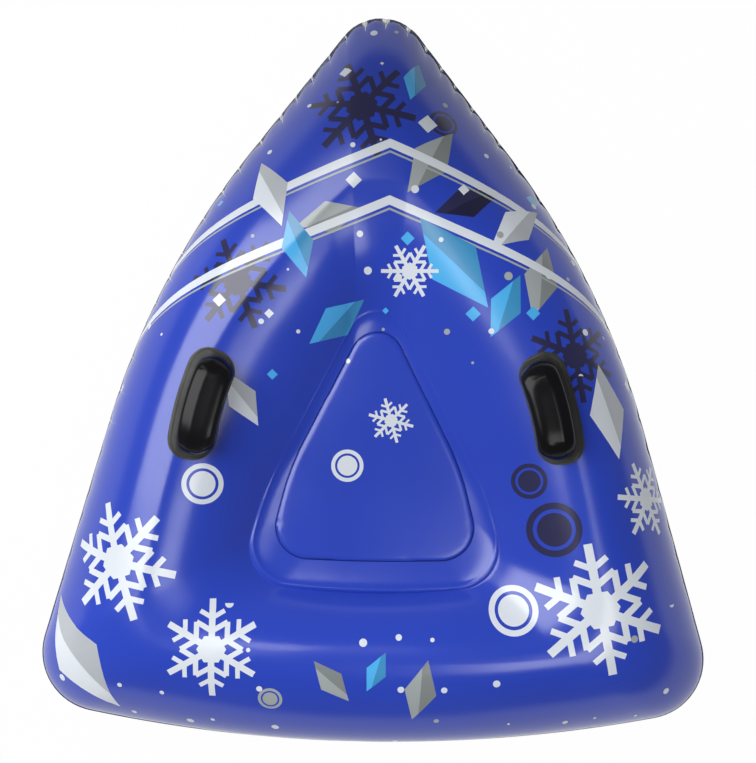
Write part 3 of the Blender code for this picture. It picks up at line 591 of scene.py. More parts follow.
def station_runs(pleats):
    """The places of the sheets' columns: even ones, with more at puckers and by the valve."""
    total = seam_runs()[-1]
    count = round(2 * total / STATION_SPACING)
    runs = [-total + 2 * total * step / count for step in range(count + 1)]
    for run, strength in pleats:
        if strength > STATION_PLEAT_STRENGTH:
            runs += [run + offset for offset in PLEAT_STATION_OFFSETS]
    steps = round(VALVE_STATION_REACH / VALVE_STATION_SPACING)
    for step in range(steps):
        offset = VALVE_STATION_SPACING * (step + 0.5)
        runs += [total - offset, offset - total]
    kept = [-total]
    for run in sorted(runs):
        if run - kept[-1] >= LEAST_STATION_SPACING and abs(run) < total - LEAST_STATION_SPACING:
            kept.append(run)
    return kept + [total]


def stations(seed):
    """Every column's points on the outlines, clockwise from the rear's middle."""
    pleats = pleat_places(seed)
    seam_shape = inset(EDGE, WELD_WIDTH)
    weld_shape = inset(PAD, -PAD_MARGIN)
    pad_shape = inset(PAD, WELD_WIDTH)
    found = []
    for run in station_runs(pleats):
        way = way_at(abs(run))
        edge, seam, crease, weld, pad = (
            outline_point(shape, way, 1 if run >= 0 else -1)
            for shape in (EDGE, seam_shape, CREASE, weld_shape, pad_shape)
        )
        after = next((index for index, pleat in enumerate(pleats) if pleat[0] > run), 0)
        first, last = pleats[after - 1], pleats[after]
        span = (last[0] - first[0]) % (2 * seam_runs()[-1])
        part = ((run - first[0]) % (2 * seam_runs()[-1])) / span
        strength = first[1] + (last[1] - first[1]) * eased(part)
        nearest = min(pleats, key=lambda pleat: abs(pleat[0] - run))
        found.append(Station(
            way, edge, seam, crease, weld, pad, (seam - crease).normalized(),
            math.sin(math.pi * min(max(part, 0), 1)), strength, blended(FLANGE_WIDTHS, way),
            abs(nearest[0] - run), nearest[1],
        ))
    return found


# Meshes

def lifted(point, height):
    """A plan point at a height."""
    return Vector((point.x, point.y, height))


def sheet_mesh(columns, layers=None, flip=False, merge=SHEET_MERGE):
    """A grid laid through columns of points, closed where its ends meet. Layers name values per point."""
    bm = bmesh.new()
    across, along = len(columns) - 1, len(columns[0]) - 1
    bmesh.ops.create_grid(bm, x_segments=across, y_segments=along, size=1)
    layers = layers or {}
    kept = {name: bm.verts.layers.float.new(name) for name in layers if name != "print_place"}
    place_layer = bm.verts.layers.float_vector.new("print_place") if "print_place" in layers else None
    for vert in bm.verts:
        column = round((vert.co.x + 1) / 2 * across)
        row = round((vert.co.y + 1) / 2 * along)
        vert.co = columns[column][row]
        for name, layer in kept.items():
            vert[layer] = layers[name][column][row]
        if place_layer:
            vert[place_layer] = layers["print_place"][column][row]
    if flip:
        bmesh.ops.reverse_faces(bm, faces=bm.faces)
    bmesh.ops.remove_doubles(bm, verts=bm.verts, dist=merge)
    return bm


def add_piece(name, bm, material, replaces):
    """Turns a bmesh into a smooth-shaded piece that rides on the sled's body."""
    mesh = bpy.data.meshes.new(name)
    bm.to_mesh(mesh)
    bm.free()
    mesh.shade_smooth()
    mesh.set_sharp_from_angle(angle=SHARP_ANGLE)
    mesh.materials.append(material)
    piece = bpy.data.objects.new(name, mesh)
    bpy.context.scene.collection.objects.link(piece)
    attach(piece, "sled")
    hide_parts(*replaces)
    return piece


def add_film(piece, thickness, offset=-1):
    """Gives a sheet its thickness with a Solidify modifier."""
    wall = piece.modifiers.new("film", "SOLIDIFY")
    wall.thickness = thickness
    wall.offset = offset
    wall.use_even_offset = True


def film_wave(point):
    """How far the slightly uneven film stands out at a point."""
    return FILM_WAVE * noise.noise(point * FILM_WAVE_SCALE)


def wall_column(station, rows, settings, level, rise, direction, shares, shift):
    """Points of a wall from the weld's edge: flange rows, then rows at angles up or down the section.
    shift says how much of the narrow flange's step the wall takes at an angle."""
    pleat = station.strength * (1 - math.sqrt(station.lobe))
    edge = station.edge - station.out * settings.edge_scallop * pleat
    ripple = WELD_RIPPLE * pleat * direction
    narrow = station.edge.lerp(station.seam, station.flange / WELD_WIDTH)
    points = [lifted(edge.lerp(narrow, share), level + ripple * (1 - share)) for share in FLANGE_ROW_SHARES]
    inner_share = blended(shares, station.way)
    fullness = 2 * blended(FULLNESS_SHARES, station.way)
    for angle in rows:
        climb = rise * math.sin(angle) ** fullness
        foot = station.seam.lerp(narrow, shift(angle))
        place = foot.lerp(station.crease, inner_share * (1 - math.cos(angle)))
        swell = climb / LOBE_PEAK_HEIGHT
        lobe = station.lobe ** (LOBE_POWER + LOBE_POWER_GROWTH * swell) * swell * math.exp(1 - swell)
        dent = (1 - station.lobe ** DENT_POWER) * math.exp(-climb / DENT_HEIGHT)
        reach = station.strength * (settings.lobe_reach * lobe - settings.dent_depth * dent)
        point = lifted(place + station.out * reach, level + direction * climb)
        wave = film_wave(point)
        point += lifted(station.out * wave * math.cos(angle), direction * wave * math.sin(angle))
        points.append(point)
    return points


def top_angles():
    """Angles up the outer wall, crowded at the seam."""
    return [math.pi / 2 * (step / OUTER_ROWS) ** OUTER_CROWDING for step in range(1, OUTER_ROWS + 1)]


def inner_fall(part, turn):
    """How far the inner wall has fallen at a part of the way from the ridge to the crease, before scaling.
    turn is the part over which it turns down."""
    even = part - turn * (1 - math.exp(-part / turn))
    return INNER_EVEN_FALL * even + INNER_CUBIC_FALL * part ** 3


def softened(wall, shelf, softness):
    """The higher of two heights, with a rounded turn between them."""
    return (wall + shelf + math.hypot(wall - shelf, softness)) / 2


def roll_height(share, rise):
    """The height of the soft roll over the crease, at a share of the way to the pad's weld."""
    if share < ROLL_CREST_SHARE:
        return rise * (1 - (1 - share / ROLL_CREST_SHARE) ** ROLL_CREST_POWER)
    if share < ROLL_SHOULDER_SHARE:
        fall = (share - ROLL_CREST_SHARE) / (ROLL_SHOULDER_SHARE - ROLL_CREST_SHARE)
        return rise - (rise + ROLL_SHOULDER_FALL) * fall ** ROLL_FLATNESS
    drop = (share - ROLL_SHOULDER_SHARE) / (1 - ROLL_SHOULDER_SHARE)
    return -ROLL_SHOULDER_FALL - (ROLL_FALL - ROLL_SHOULDER_FALL) * (1 - math.sqrt(1 - drop ** 2))


def top_column(station, settings):
    """One column of the top sheet, from the weld's edge to the weld under the pad."""
    points = wall_column(
        station, top_angles(), settings, TOP_FLANGE_HEIGHT, RIDGE_HEIGHT - TOP_FLANGE_HEIGHT, 1,
        RIDGE_SHARES, lambda angle: 1 - eased(angle / (math.pi / 2)),
    )
    ridge, softness, turn, rise = (
        blended(values, station.way) for values in (RIDGE_SHARES, CREASE_SOFTNESSES, INNER_TURNS, ROLL_RISES)
    )
    reach = (station.crease - station.seam).length * (1 - ridge)
    whole = inner_fall(1, turn)
    steepness = (whole - inner_fall(1 - STEEPNESS_REACH, turn)) / STEEPNESS_REACH / whole * SEAT_DEPTH / reach
    for part in INNER_ROW_SHARES:
        place = station.seam.lerp(station.crease, ridge * (1 - part) + part)
        wall = RIDGE_HEIGHT - SEAT_DEPTH * inner_fall(part, turn) / whole
        point = lifted(place, softened(wall, CREASE_HEIGHT + SHELF_SLOPE * (1 - part) * reach, softness))
        point.z += film_wave(point) * (1 - part ** INNER_WAVE_POWER)
        points.append(point)
    for share in ROLL_ROW_SHARES:
        place = station.crease.lerp(station.weld, share)
        wall = CREASE_HEIGHT - steepness * (place - station.crease).length
        points.append(lifted(place, softened(wall, CREASE_HEIGHT + roll_height(share, rise), softness)))
    points.append(lifted(station.pad, PAD_WELD_HEIGHT))
    return points


def print_places(column, ridge_row):
    """Where the print of each point lies on the flat sheet: past the ridge it follows the wall down."""
    ridge = column[ridge_row]
    flat = [None] * len(column)
    run = 0.0
    for row in range(ridge_row, -1, -1):
        if row < ridge_row:
            run += (column[row] - column[row + 1]).length
        outwards = (column[0] - ridge).to_2d().normalized()
        flat[row] = lifted(ridge.to_2d() + outwards * run, 0)
    for row in range(ridge_row + 1, len(column)):
        flat[row] = lifted(column[row].to_2d(), 0)
    return flat


# Materials

class Recipe:
    """Adds shader nodes to a tree, one node per call. Values may be sockets, numbers or colours."""

    def __init__(self, tree):
        self.tree = tree

    def node(self, kind, inputs=None, **settings):
        made = self.tree.nodes.new(kind)
        for name, value in settings.items():
            setattr(made, name, value)
        for key, value in (inputs or {}).items():
            self.feed(made.inputs[key], value)
        return made

    def feed(self, socket, value):
        if isinstance(value, bpy.types.NodeSocket):
            self.tree.links.new(value, socket)
        else:
            socket.default_value = value

    def math(self, operation, *values):
        return self.node("ShaderNodeMath", dict(enumerate(values)), operation=operation).outputs[0]

    plus = partialmethod(math, "ADD")
    minus = partialmethod(math, "SUBTRACT")
    times = partialmethod(math, "MULTIPLY")
    most = partialmethod(math, "MAXIMUM")
    size = partialmethod(math, "ABSOLUTE")
    under = partialmethod(math, "LESS_THAN")
    over = partialmethod(math, "GREATER_THAN")

    def length(self, x, y):
        return self.math("SQRT", self.plus(self.times(x, x), self.times(y, y)))

    def split(self, vector):
        return self.node("ShaderNodeSeparateXYZ", {0: vector}).outputs

    def mix(self, share, below, above):
        made = self.node("ShaderNodeMix", data_type="RGBA")
        for key, value in (("Factor_Float", share), ("A_Color", below), ("B_Color", above)):
            self.feed(next(item for item in made.inputs if item.identifier == key), value)
        return next(item for item in made.outputs if item.identifier == "Result_Color")

    def spread(self, value, low, high, to_low=0.0, to_high=1.0):
        return self.node("ShaderNodeMapRange", {
            "Value": value, "From Min": low, "From Max": high, "To Min": to_low, "To Max": to_high,
        }).outputs[0]

    def noise(self, place, scale, detail=2.0):
        made = self.node("ShaderNodeTexNoise", {"Vector": place, "Scale": scale, "Detail": detail})
        return made.outputs["Fac"]

    def place(self):
        return self.node("ShaderNodeTexCoord").outputs["Object"]

    def attribute(self, name, output):
        return self.node("ShaderNodeAttribute", attribute_name=name).outputs[output]

    def bump(self, height, distance, normal=None):
        made = self.node("ShaderNodeBump", {"Height": height, "Strength": 1.0, "Distance": distance})
        if normal:
            self.feed(made.inputs["Normal"], normal)
        return made.outputs[0]


def new_material(name, ior=USUAL_IOR):
    """A material with an empty Principled shader, as its recipe and shader node."""
    made = bpy.data.materials.new(name)
    made.use_nodes = True
    shader = made.node_tree.nodes["Principled BSDF"]
    shader.inputs["IOR"].default_value = ior
    return made, Recipe(made.node_tree), shader


def dimmed(colour, share):
    """A colour taken down to a share of its brightness."""
    return tuple(share * value for value in colour[:3]) + (1,)


def motif_group(name, outputs, draw):
    """A node group that draws one kind of motif. draw gets the motif's own x and y, with its size as 1."""
    tree = bpy.data.node_groups.new(name, "ShaderNodeTree")
    for socket, kind in (("Place", "Vector"), ("Centre", "Vector"), ("Size", "Float"), ("Turn", "Float")):
        tree.interface.new_socket(socket, in_out="INPUT", socket_type="NodeSocket" + kind)
    for socket in outputs:
        tree.interface.new_socket(socket, in_out="OUTPUT", socket_type="NodeSocketFloat")
    recipe = Recipe(tree)
    start = recipe.node("NodeGroupInput").outputs
    offset = recipe.node(
        "ShaderNodeVectorMath", {0: start["Place"], 1: start["Centre"]}, operation="SUBTRACT").outputs[0]
    turned = recipe.node(
        "ShaderNodeVectorRotate", {"Vector": offset, "Angle": start["Turn"]}, rotation_type="Z_AXIS",
    ).outputs[0]
    shrink = recipe.math("DIVIDE", 1.0, start["Size"])
    scaled = recipe.node("ShaderNodeVectorMath", {0: turned, "Scale": shrink}, operation="SCALE").outputs[0]
    x, y, _ = recipe.split(scaled)
    recipe.node("NodeGroupOutput", dict(zip(outputs, draw(recipe, x, y))))
    return tree


def draw_crystal(recipe, x, y):
    """A plain six-armed snow crystal: bars with two pairs of twigs each, and a hexagon in the middle."""
    fold = recipe.size(recipe.math("WRAP", recipe.math("ARCTAN2", y, x), math.pi / 6, -math.pi / 6))
    reach = recipe.length(x, y)
    along = recipe.times(reach, recipe.math("COSINE", fold))
    across = recipe.times(reach, recipe.math("SINE", fold))
    arm = recipe.times(recipe.under(across, CRYSTAL_ARM_WIDTH), recipe.under(along, 1.0))
    mask = recipe.most(arm, recipe.under(along, CRYSTAL_HEXAGON))
    twig_x, twig_y = facing(math.pi / 3)
    for root, length, width in CRYSTAL_TWIGS:
        past = recipe.minus(along, root)
        off = recipe.size(recipe.minus(recipe.times(past, twig_y), recipe.times(across, twig_x)))
        out = recipe.plus(recipe.times(past, twig_x), recipe.times(across, twig_y))
        twig = recipe.times(recipe.under(off, width), recipe.under(out, length))
        mask = recipe.most(mask, recipe.times(twig, recipe.over(out, 0.0)))
    return (mask,)


def draw_shard(recipe, x, y):
    """A long ice shard: a diamond with one half darker, as its mask and its facet."""
    reach = recipe.plus(recipe.times(recipe.size(x), SHARD_SLIMNESS), recipe.size(y))
    slant = recipe.plus(x, recipe.times(y, SHARD_FACET_SLOPE))
    return recipe.under(reach, 1.0), recipe.over(slant, 0.0)


def draw_ring(recipe, x, y):
    """A round snowball: a disc with a thin ring round it."""
    reach = recipe.length(x, y)
    off = recipe.size(recipe.minus(reach, RING_RADIUS))
    return (recipe.most(recipe.under(reach, RING_DISC), recipe.under(off, RING_WIDTH)),)


def scatter(recipe, place, scale, metric, least, most, share):
    """Small random marks, one in each of some cells: their mask and a random value for each."""
    cells = recipe.node(
        "ShaderNodeTexVoronoi", {"Vector": place, "Scale": scale, "Randomness": SNOW_RANDOMNESS},
        voronoi_dimensions="2D", distance=metric,
    )
    reach, pick, tint = recipe.node("ShaderNodeSeparateColor", {0: cells.outputs["Color"]}).outputs
    limit = recipe.spread(reach, 0.0, 1.0, least * scale, most * scale)
    inside = recipe.under(cells.outputs["Distance"], limit)
    return recipe.times(inside, recipe.under(pick, share)), tint


def print_colour(recipe, place, colours):
    """The printed design: chevrons at the nose, crystals, ice shards and snow."""
    x, y, _ = recipe.split(place)
    groups = {
        "crystal": motif_group("snow_crystal", ("Mask",), draw_crystal),
        "shard": motif_group("ice_shard", ("Mask", "Facet"), draw_shard),
        "ring": motif_group("snowball", ("Mask",), draw_ring),
    }
    colour = colours.ground
    for ink, motifs in MOTIFS.items():
        if ink == "sky_ink":
            colour = add_chevrons(recipe, x, y, colour, colours)
        for kind, centre_x, centre_y, size, turn in motifs:
            motif = recipe.node("ShaderNodeGroup", {
                "Place": place, "Centre": (centre_x, centre_y, 0), "Size": size, "Turn": math.radians(turn),
            }, node_tree=groups[kind])
            shade = getattr(colours, ink)
            if kind == "shard":
                shade = recipe.mix(motif.outputs["Facet"], shade, dimmed(shade, SHARD_SHADE))
            colour = recipe.mix(motif.outputs["Mask"], colour, shade)
    flakes, flake_tint = scatter(recipe, place, *FLAKES)
    chips, chip_tint = scatter(recipe, place, *CHIPS)
    flakes = recipe.times(flakes, recipe.over(recipe.size(recipe.minus(y, BARE_PLACE)), BARE_REACH))
    chips = recipe.times(chips, recipe.over(y, CHIPS_START))
    ink = recipe.mix(recipe.over(chip_tint, WHITE_CHIP_SHARE), colours.white_ink, colours.sky_ink)
    colour = recipe.mix(chips, colour, ink)
    ink = recipe.mix(recipe.over(flake_tint, WHITE_FLAKE_SHARE), colours.white_ink, colours.grey_ink)
    return recipe.mix(flakes, colour, ink)


def add_chevrons(recipe, x, y, colour, colours):
    """Plain straight chevrons over the nose: two white bands, each with a thin grey line behind it."""
    drop = recipe.times(recipe.size(recipe.minus(x, CHEVRON_X)), CHEVRON_SLOPE)
    for apex in CHEVRON_APEXES:
        past = recipe.minus(recipe.plus(y, drop), apex)
        band = recipe.under(recipe.size(past), CHEVRON_REACH)
        line = recipe.under(recipe.size(recipe.minus(past, CHEVRON_LINE_PLACE)), CHEVRON_LINE_REACH)
        colour = recipe.mix(line, recipe.mix(band, colour, colours.white_ink), colours.grey_ink)
    return colour


def vinyl_surface(recipe, shader, place, film):
    """Roughness and bump of soft glossy film: handling haze, faint ripples and a fine grain."""
    haze = recipe.noise(place, HAZE_SCALE, FINE_DETAIL)
    least, most = film.roughness - film.spread, film.roughness + film.spread
    recipe.feed(shader.inputs["Roughness"], recipe.spread(haze, *NOISE_SPAN, least, most))
    ripples = recipe.bump(recipe.noise(place, RIPPLE_SCALE), film.wave)
    recipe.feed(shader.inputs["Normal"], recipe.bump(recipe.noise(place, GRAIN_SCALE), film.grain, ripples))


def weld_colour(recipe, colour, colours):
    """The edge weld's flange painted dark as the shadow under the lobes, and the pale creases that run in
    from it at each pucker.
    """
    depth, gap, mark, flange = (
        recipe.attribute(name, "Fac") for name in ("edge_depth", "pleat_gap", "pleat_mark", "flange"))
    start, taper = CREASE_PLACES
    wide, narrow = CREASE_HALF_WIDTHS
    past = recipe.minus(depth, flange)
    half = recipe.minus(
        recipe.spread(past, start, taper, wide, narrow), recipe.spread(past, taper, CREASE_END, 0.0, narrow))
    crease = recipe.under(gap, recipe.times(half, recipe.math("POWER", mark, CREASE_MARK_POWER)))
    crease = recipe.times(crease, recipe.over(mark, CREASE_LEAST_MARK))
    # Painted shadow: the weld's flange is coloured dark for the shade under the lobes
    colour = recipe.mix(recipe.under(past, PAINTED_WELD_SHADOW_END), colour, colours.weld_film)
    return recipe.mix(crease, colour, colours.weld)


def printed_vinyl(colours):
    """The blue printed film of the top sheet, with painted shade towards the nose and painted light towards
    the rear, and the weld's flange painted dark as the shadow under the lobes.
    """
    made, recipe, shader = new_material("printed_vinyl", PRINTED_FILM.ior)
    place = recipe.attribute("print_place", "Vector")
    spot = recipe.place()
    along = recipe.split(place)["Y"]
    tone = recipe.spread(recipe.noise(spot, PRINT_TONE_SCALE), *NOISE_SPAN, *PRINT_TONES)
    # Painted shade darkens the print towards the nose, and painted light brightens it towards the rear
    tone = recipe.times(tone, recipe.spread(along, *NOSE_PAINTED_SHADE_PLACES, 1.0, NOSE_PAINTED_SHADE))
    tone = recipe.times(tone, recipe.spread(along, *REAR_PAINTED_LIGHT_PLACES, REAR_PAINTED_LIGHT, 1.0))
    ink = print_colour(recipe, place, colours)
    ink = recipe.node("ShaderNodeHueSaturation", {"Color": ink, "Value": tone}).outputs[0]
    recipe.feed(shader.inputs["Base Color"], weld_colour(recipe, ink, colours))
    vinyl_surface(recipe, shader, spot, PRINTED_FILM)
    return made


def plain_vinyl(name, colour, film):
    """One-coloured film or plastic with slight changes of tone."""
    made, recipe, shader = new_material(name, film.ior)
    spot = recipe.place()
    tone = recipe.spread(recipe.noise(spot, TONE_SCALE, FINE_DETAIL), *TONE_SPAN)
    recipe.feed(shader.inputs["Base Color"], recipe.mix(tone, dimmed(colour, film.shade), colour))
    vinyl_surface(recipe, shader, spot, film)
    return made


def patch_vinyl(colours):
    """The doubler's film: darker inside, olive grey at its rim, with a knurled weld line."""
    made, recipe, shader = new_material("patch_vinyl", PATCH_IOR)
    spot = recipe.place()
    rim = recipe.attribute("rim", "Fac")
    colour = recipe.mix(recipe.spread(rim, *PATCH_RIM_PLACES), colours.handle, colours.patch)
    tone = recipe.noise(spot, PATCH_TONE_SCALE, FINE_DETAIL)
    colour = recipe.mix(recipe.spread(tone, *PATCH_TONE_SPAN), colour, dimmed(colours.patch, PATCH_SHADE))
    recipe.feed(shader.inputs["Base Color"], colour)
    line = recipe.spread(recipe.size(recipe.minus(rim, PATCH_LINE_PLACE)), 0.0, PATCH_LINE_WIDTH, 1.0, 0.0)
    line = recipe.bump(line, PATCH_LINE_HEIGHT)
    grain = recipe.noise(spot, PATCH_GRAIN_SCALE)
    recipe.feed(shader.inputs["Normal"], recipe.bump(grain, PATCH_GRAIN, line))
    recipe.feed(shader.inputs["Roughness"], recipe.spread(tone, *NOISE_SPAN, *PATCH_ROUGHNESSES))
    return made


# Sheets

def add_top_sheet(context):
    """The printed top sheet. Returns its mesh as a surface to lay the handles on."""
    settings, colours = context.scene.snow_sled_sheets, context.scene.snow_sled_colours
    places = stations(settings.pleat_seed)
    columns = [top_column(station, settings) for station in places]
    ridge_row = len(FLANGE_ROW_SHARES) + OUTER_ROWS - 1
    layers = {
        name: [[getattr(station, name)] * len(column) for station, column in zip(places, columns)]
        for name in ("pleat_gap", "pleat_mark", "flange")
    }
    layers["edge_depth"] = [
        [(point.to_2d() - column[0].to_2d()).length for point in column] for column in columns]
    layers["print_place"] = [print_places(column, ridge_row) for column in columns]
    bm = sheet_mesh(columns, layers, flip=True)
    surface = BVHTree.FromBMesh(bm)
    sheet = add_piece("top_sheet", bm, printed_vinyl(colours), ("top_skin",))
    add_film(sheet, TOP_FILM)
    return surface


def keel_column(station, settings):
    """One column of the sliding sheet, from the weld's edge to the middle of the underside."""
    angles = [math.radians(angle) for angle in KEEL_ANGLES]
    points = wall_column(
        station, angles, settings, BOTTOM_FLANGE_HEIGHT, BOTTOM_FLANGE_HEIGHT, -1,
        KEEL_SHARES, lambda angle: 1 - eased(angle / KEEL_STEP_ANGLE),
    )
    keel = blended(KEEL_SHARES, station.way)
    for share in FLAT_ROW_SHARES:
        place = station.seam.lerp(station.crease, keel + (1 - keel) * share)
        points.append(lifted(place, GROOVE_DEPTH * math.exp(-((1 - share) / GROOVE_OUTER_SHARE) ** 2)))
    for share in FLOOR_ROW_SHARES:
        place = station.crease.lerp(PAD_MIDDLE, share)
        points.append(lifted(place, GROOVE_DEPTH * math.exp(-(share / GROOVE_INNER_SHARE) ** 2)))
    for point in points:
        point.z = max(point.z, 0)
    return points


def add_sliding_sheet(context):
    """The thick sheet that slides on the snow, with a hole for the valve's ring."""
    settings, colours = context.scene.snow_sled_sheets, context.scene.snow_sled_colours
    bm = sheet_mesh([keel_column(station, settings) for station in stations(settings.pleat_seed)])
    hidden = [
        vert for vert in bm.verts
        if (vert.co - VALVE_PLACE).cross(VALVE_OUT).length < VALVE_HOLE_RADIUS and vert.co.y < PAD.rear_y
    ]
    bmesh.ops.delete(bm, geom=hidden, context="VERTS")
    film = plain_vinyl("sliding_vinyl", colours.sliding, SLIDING_FILM)
    add_film(add_piece("sliding_sheet", bm, film, ("bottom_skin",)), BOTTOM_FILM)


def upright_strip(points, low, high):
    """The mesh of an upright film over plan points, between two heights."""
    heights = [low + (high - low) * step / STRIP_ROWS for step in range(STRIP_ROWS + 1)]
    return sheet_mesh([[lifted(point, height) for height in heights] for point in points])


def add_inner_films(context):
    """The films inside: the web under the crease, the three beams and the floor under the pad."""
    film = plain_vinyl("inner_film", INNER_COLOUR, INNER_FILM)
    low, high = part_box("seat_web")
    ways = [WEB_FIRST_WAY + (2 - WEB_FIRST_WAY) * step / WEB_STEPS for step in range(WEB_STEPS + 1)]
    right = [outline_point(CREASE, way, 1) for way in ways]
    loop = right + [Vector((-point.x, point.y)) for point in reversed(right[:-1])]
    web = upright_strip(loop, low.z + WEB_FOOT_GAP, high.z)
    add_film(add_piece("web_film", web, film, ("seat_web",)), WEB_FILM, 0)
    for name in ("floor_beam_rear", "floor_beam_middle", "floor_beam_front"):
        low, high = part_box(name)
        span, middle = high.x - low.x, (low.y + high.y) / 2
        line = [Vector((low.x + span * step / BEAM_STEPS, middle)) for step in range(BEAM_STEPS + 1)]
        beam = upright_strip(line, low.z, high.z)
        add_film(add_piece(name + "_film", beam, film, (name,)), WEB_FILM, 0)
    low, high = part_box("seat_floor")
    columns = [
        [lifted(point.lerp(PAD_MIDDLE, share), high.z) for share in SEAT_FLOOR_ROW_SHARES]
        for point in even_stations(PAD, SEAT_FLOOR_STEPS)
    ]
    floor = add_piece(
        "seat_floor_film", sheet_mesh(columns, flip=True), film, ("seat_floor",))
    add_film(floor, high.z - low.z)


def even_stations(shape, steps):
    """Points round an outline at even ways, clockwise from the rear's middle and back to it."""
    right = [outline_point(shape, 2 * step / steps, 1) for step in range(steps + 1)]
    right[0].x = right[-1].x = 0
    left = [Vector((-point.x, point.y)) for point in reversed(right)]
    return left + right[1:]


# Seat pad

def pad_mesh():
    """The pad before it swells: a flat body with a rounded rim, slightly crowned."""
    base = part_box("seat_pad_cover")[0].z
    profile = [
        (PAD_EDGE_RADIUS, 0.0), (PAD_FOOT_BEVEL, 0.0), (0, PAD_FOOT_BEVEL),
        (-PAD_BULGE * PAD_BULGE_START_SHARE, PAD_BULGE_START_HEIGHT),
    ]
    for step in range(PAD_EDGE_STEPS + 1):
        turn = math.pi / 2 * step / PAD_EDGE_STEPS
        profile.append((
            -PAD_BULGE + (PAD_EDGE_RADIUS + PAD_BULGE) * (1 - math.cos(turn)),
            PAD_THICKNESS - PAD_EDGE_RADIUS * (1 - math.sin(turn)),
        ))
    rows = [even_stations(inset(PAD, depth), PAD_STEPS) for depth, _ in profile]
    columns = []
    for spots in zip(*rows):
        rim = spots[-1]
        column = [lifted(PAD_MIDDLE, base), lifted(rim.lerp(PAD_MIDDLE, PAD_UNDER_SHARE), base)]
        column += [lifted(spot, base + height) for spot, (_, height) in zip(spots, profile)]
        for share in PAD_TOP_SHARES:
            place = lifted(rim.lerp(PAD_MIDDLE, share), base + PAD_THICKNESS)
            place.z += PAD_CROWN * math.sin(math.pi / 2 * min(share * PAD_CROWN_STEEPNESS, 1))
            column.append(place)
        columns.append(column)
    bm = sheet_mesh(columns, flip=True)
    bmesh.ops.recalc_face_normals(bm, faces=bm.faces)
    return bm


def swell(bm):
    """Remeshes a closed body evenly, blows it up a little as cloth under pressure and rounds it.
    Each point is kept near its start."""
    scene = bpy.context.scene
    start = bpy.data.meshes.new("pad_start")
    bm.to_mesh(start)
    bm.clear()
    body = bpy.data.objects.new("swelling_pad", start)
    scene.collection.objects.link(body)
    even = body.modifiers.new("even", "REMESH")
    even.mode = "VOXEL"
    even.voxel_size = PAD_VOXEL
    mesh = bpy.data.meshes.new_from_object(body.evaluated_get(bpy.context.evaluated_depsgraph_get()))
    body.modifiers.remove(even)
    body.data = mesh
    cover = body.modifiers.new("cover", "CLOTH")
    cover.settings.quality = PAD_QUALITY
    cover.settings.mass = PAD_POINT_MASS
    cover.settings.tension_stiffness = PAD_STRETCH_STIFFNESS
    cover.settings.compression_stiffness = PAD_STRETCH_STIFFNESS
    cover.settings.bending_stiffness = PAD_BEND_STIFFNESS
    cover.settings.use_pressure = True
    cover.settings.uniform_pressure_force = PAD_PRESSURE
    cover.settings.effector_weights.gravity = 0
    cover.point_cache.frame_start, cover.point_cache.frame_end = 1, PAD_FRAMES
    for step in range(1, PAD_FRAMES + 1):
        scene.frame_set(step)
    swollen = body.evaluated_get(bpy.context.evaluated_depsgraph_get())
    moves = [end.co - vert.co for vert, end in zip(mesh.vertices, swollen.data.vertices)]
    scene.frame_set(1)
    bpy.data.objects.remove(body)
    for vert, move in zip(mesh.vertices, moves):
        if move.length > PAD_SWELL_LIMIT:
            move *= PAD_SWELL_LIMIT / move.length
        vert.co += move
    bm.from_mesh(mesh)
    for used in (start, mesh):
        bpy.data.meshes.remove(used)
    for _ in range(PAD_SMOOTHINGS):
        bmesh.ops.smooth_vert(
            bm, verts=bm.verts, factor=PAD_SMOOTHING, use_axis_x=True, use_axis_y=True, use_axis_z=True)


def add_seat_pad(context):
    """The flat pad: film over foam, let into the seat and welded down round its edge."""
    bm = pad_mesh()
    swell(bm)
    depth = bm.verts.layers.float.new("edge_depth")
    place = bm.verts.layers.float_vector.new("print_place")
    for vert in bm.verts:
        vert[depth] = 1.0
        vert[place] = lifted(vert.co.to_2d(), 0)
    printed = bpy.data.materials["printed_vinyl"]
    pad = add_piece("seat_pad", bm, printed, ("seat_pad_cover", "seat_pad_foam"))


# Handles

def handle_plan(side, along, across):
    """A place on a handle in the plan: along its bowed middle line, and outwards across it."""
    outwards = facing(HANDLE_TILT)
    noseward = -heading(HANDLE_TILT)
    bend = along / HANDLE_BOW_RADIUS
    spoke = outwards * math.cos(bend) + noseward * math.sin(bend)
    centre = Vector((HANDLE_X, HANDLE_Y)) - outwards * HANDLE_BOW_RADIUS
    place = centre + spoke * (HANDLE_BOW_RADIUS + across)
    return Vector((side * place.x, place.y))


def height_over(surface, place):
    """The height of a surface over a place in the plan."""
    hit = surface.ray_cast(lifted(place, RIDGE_HEIGHT + GRIP_HEIGHT), Vector((0, 0, -1)))[0]
    if hit is None:
        hit = surface.find_nearest(lifted(place, RIDGE_HEIGHT))[0]
    return hit.z


def rounded_wave(angle, share):
    """Cosine and sine of an angle, squared off by a share below 1."""
    c, s = math.cos(angle), math.sin(angle)
    return math.copysign(abs(c) ** share, c), math.copysign(abs(s) ** share, s)


def rounded_half_width(along, length, width, radius):
    """Half the width of a strip with rounded ends, at a place along it."""
    past = max(abs(along) - (length / 2 - radius), 0)
    return width / 2 - radius + math.sqrt(max(radius ** 2 - past ** 2, 0))


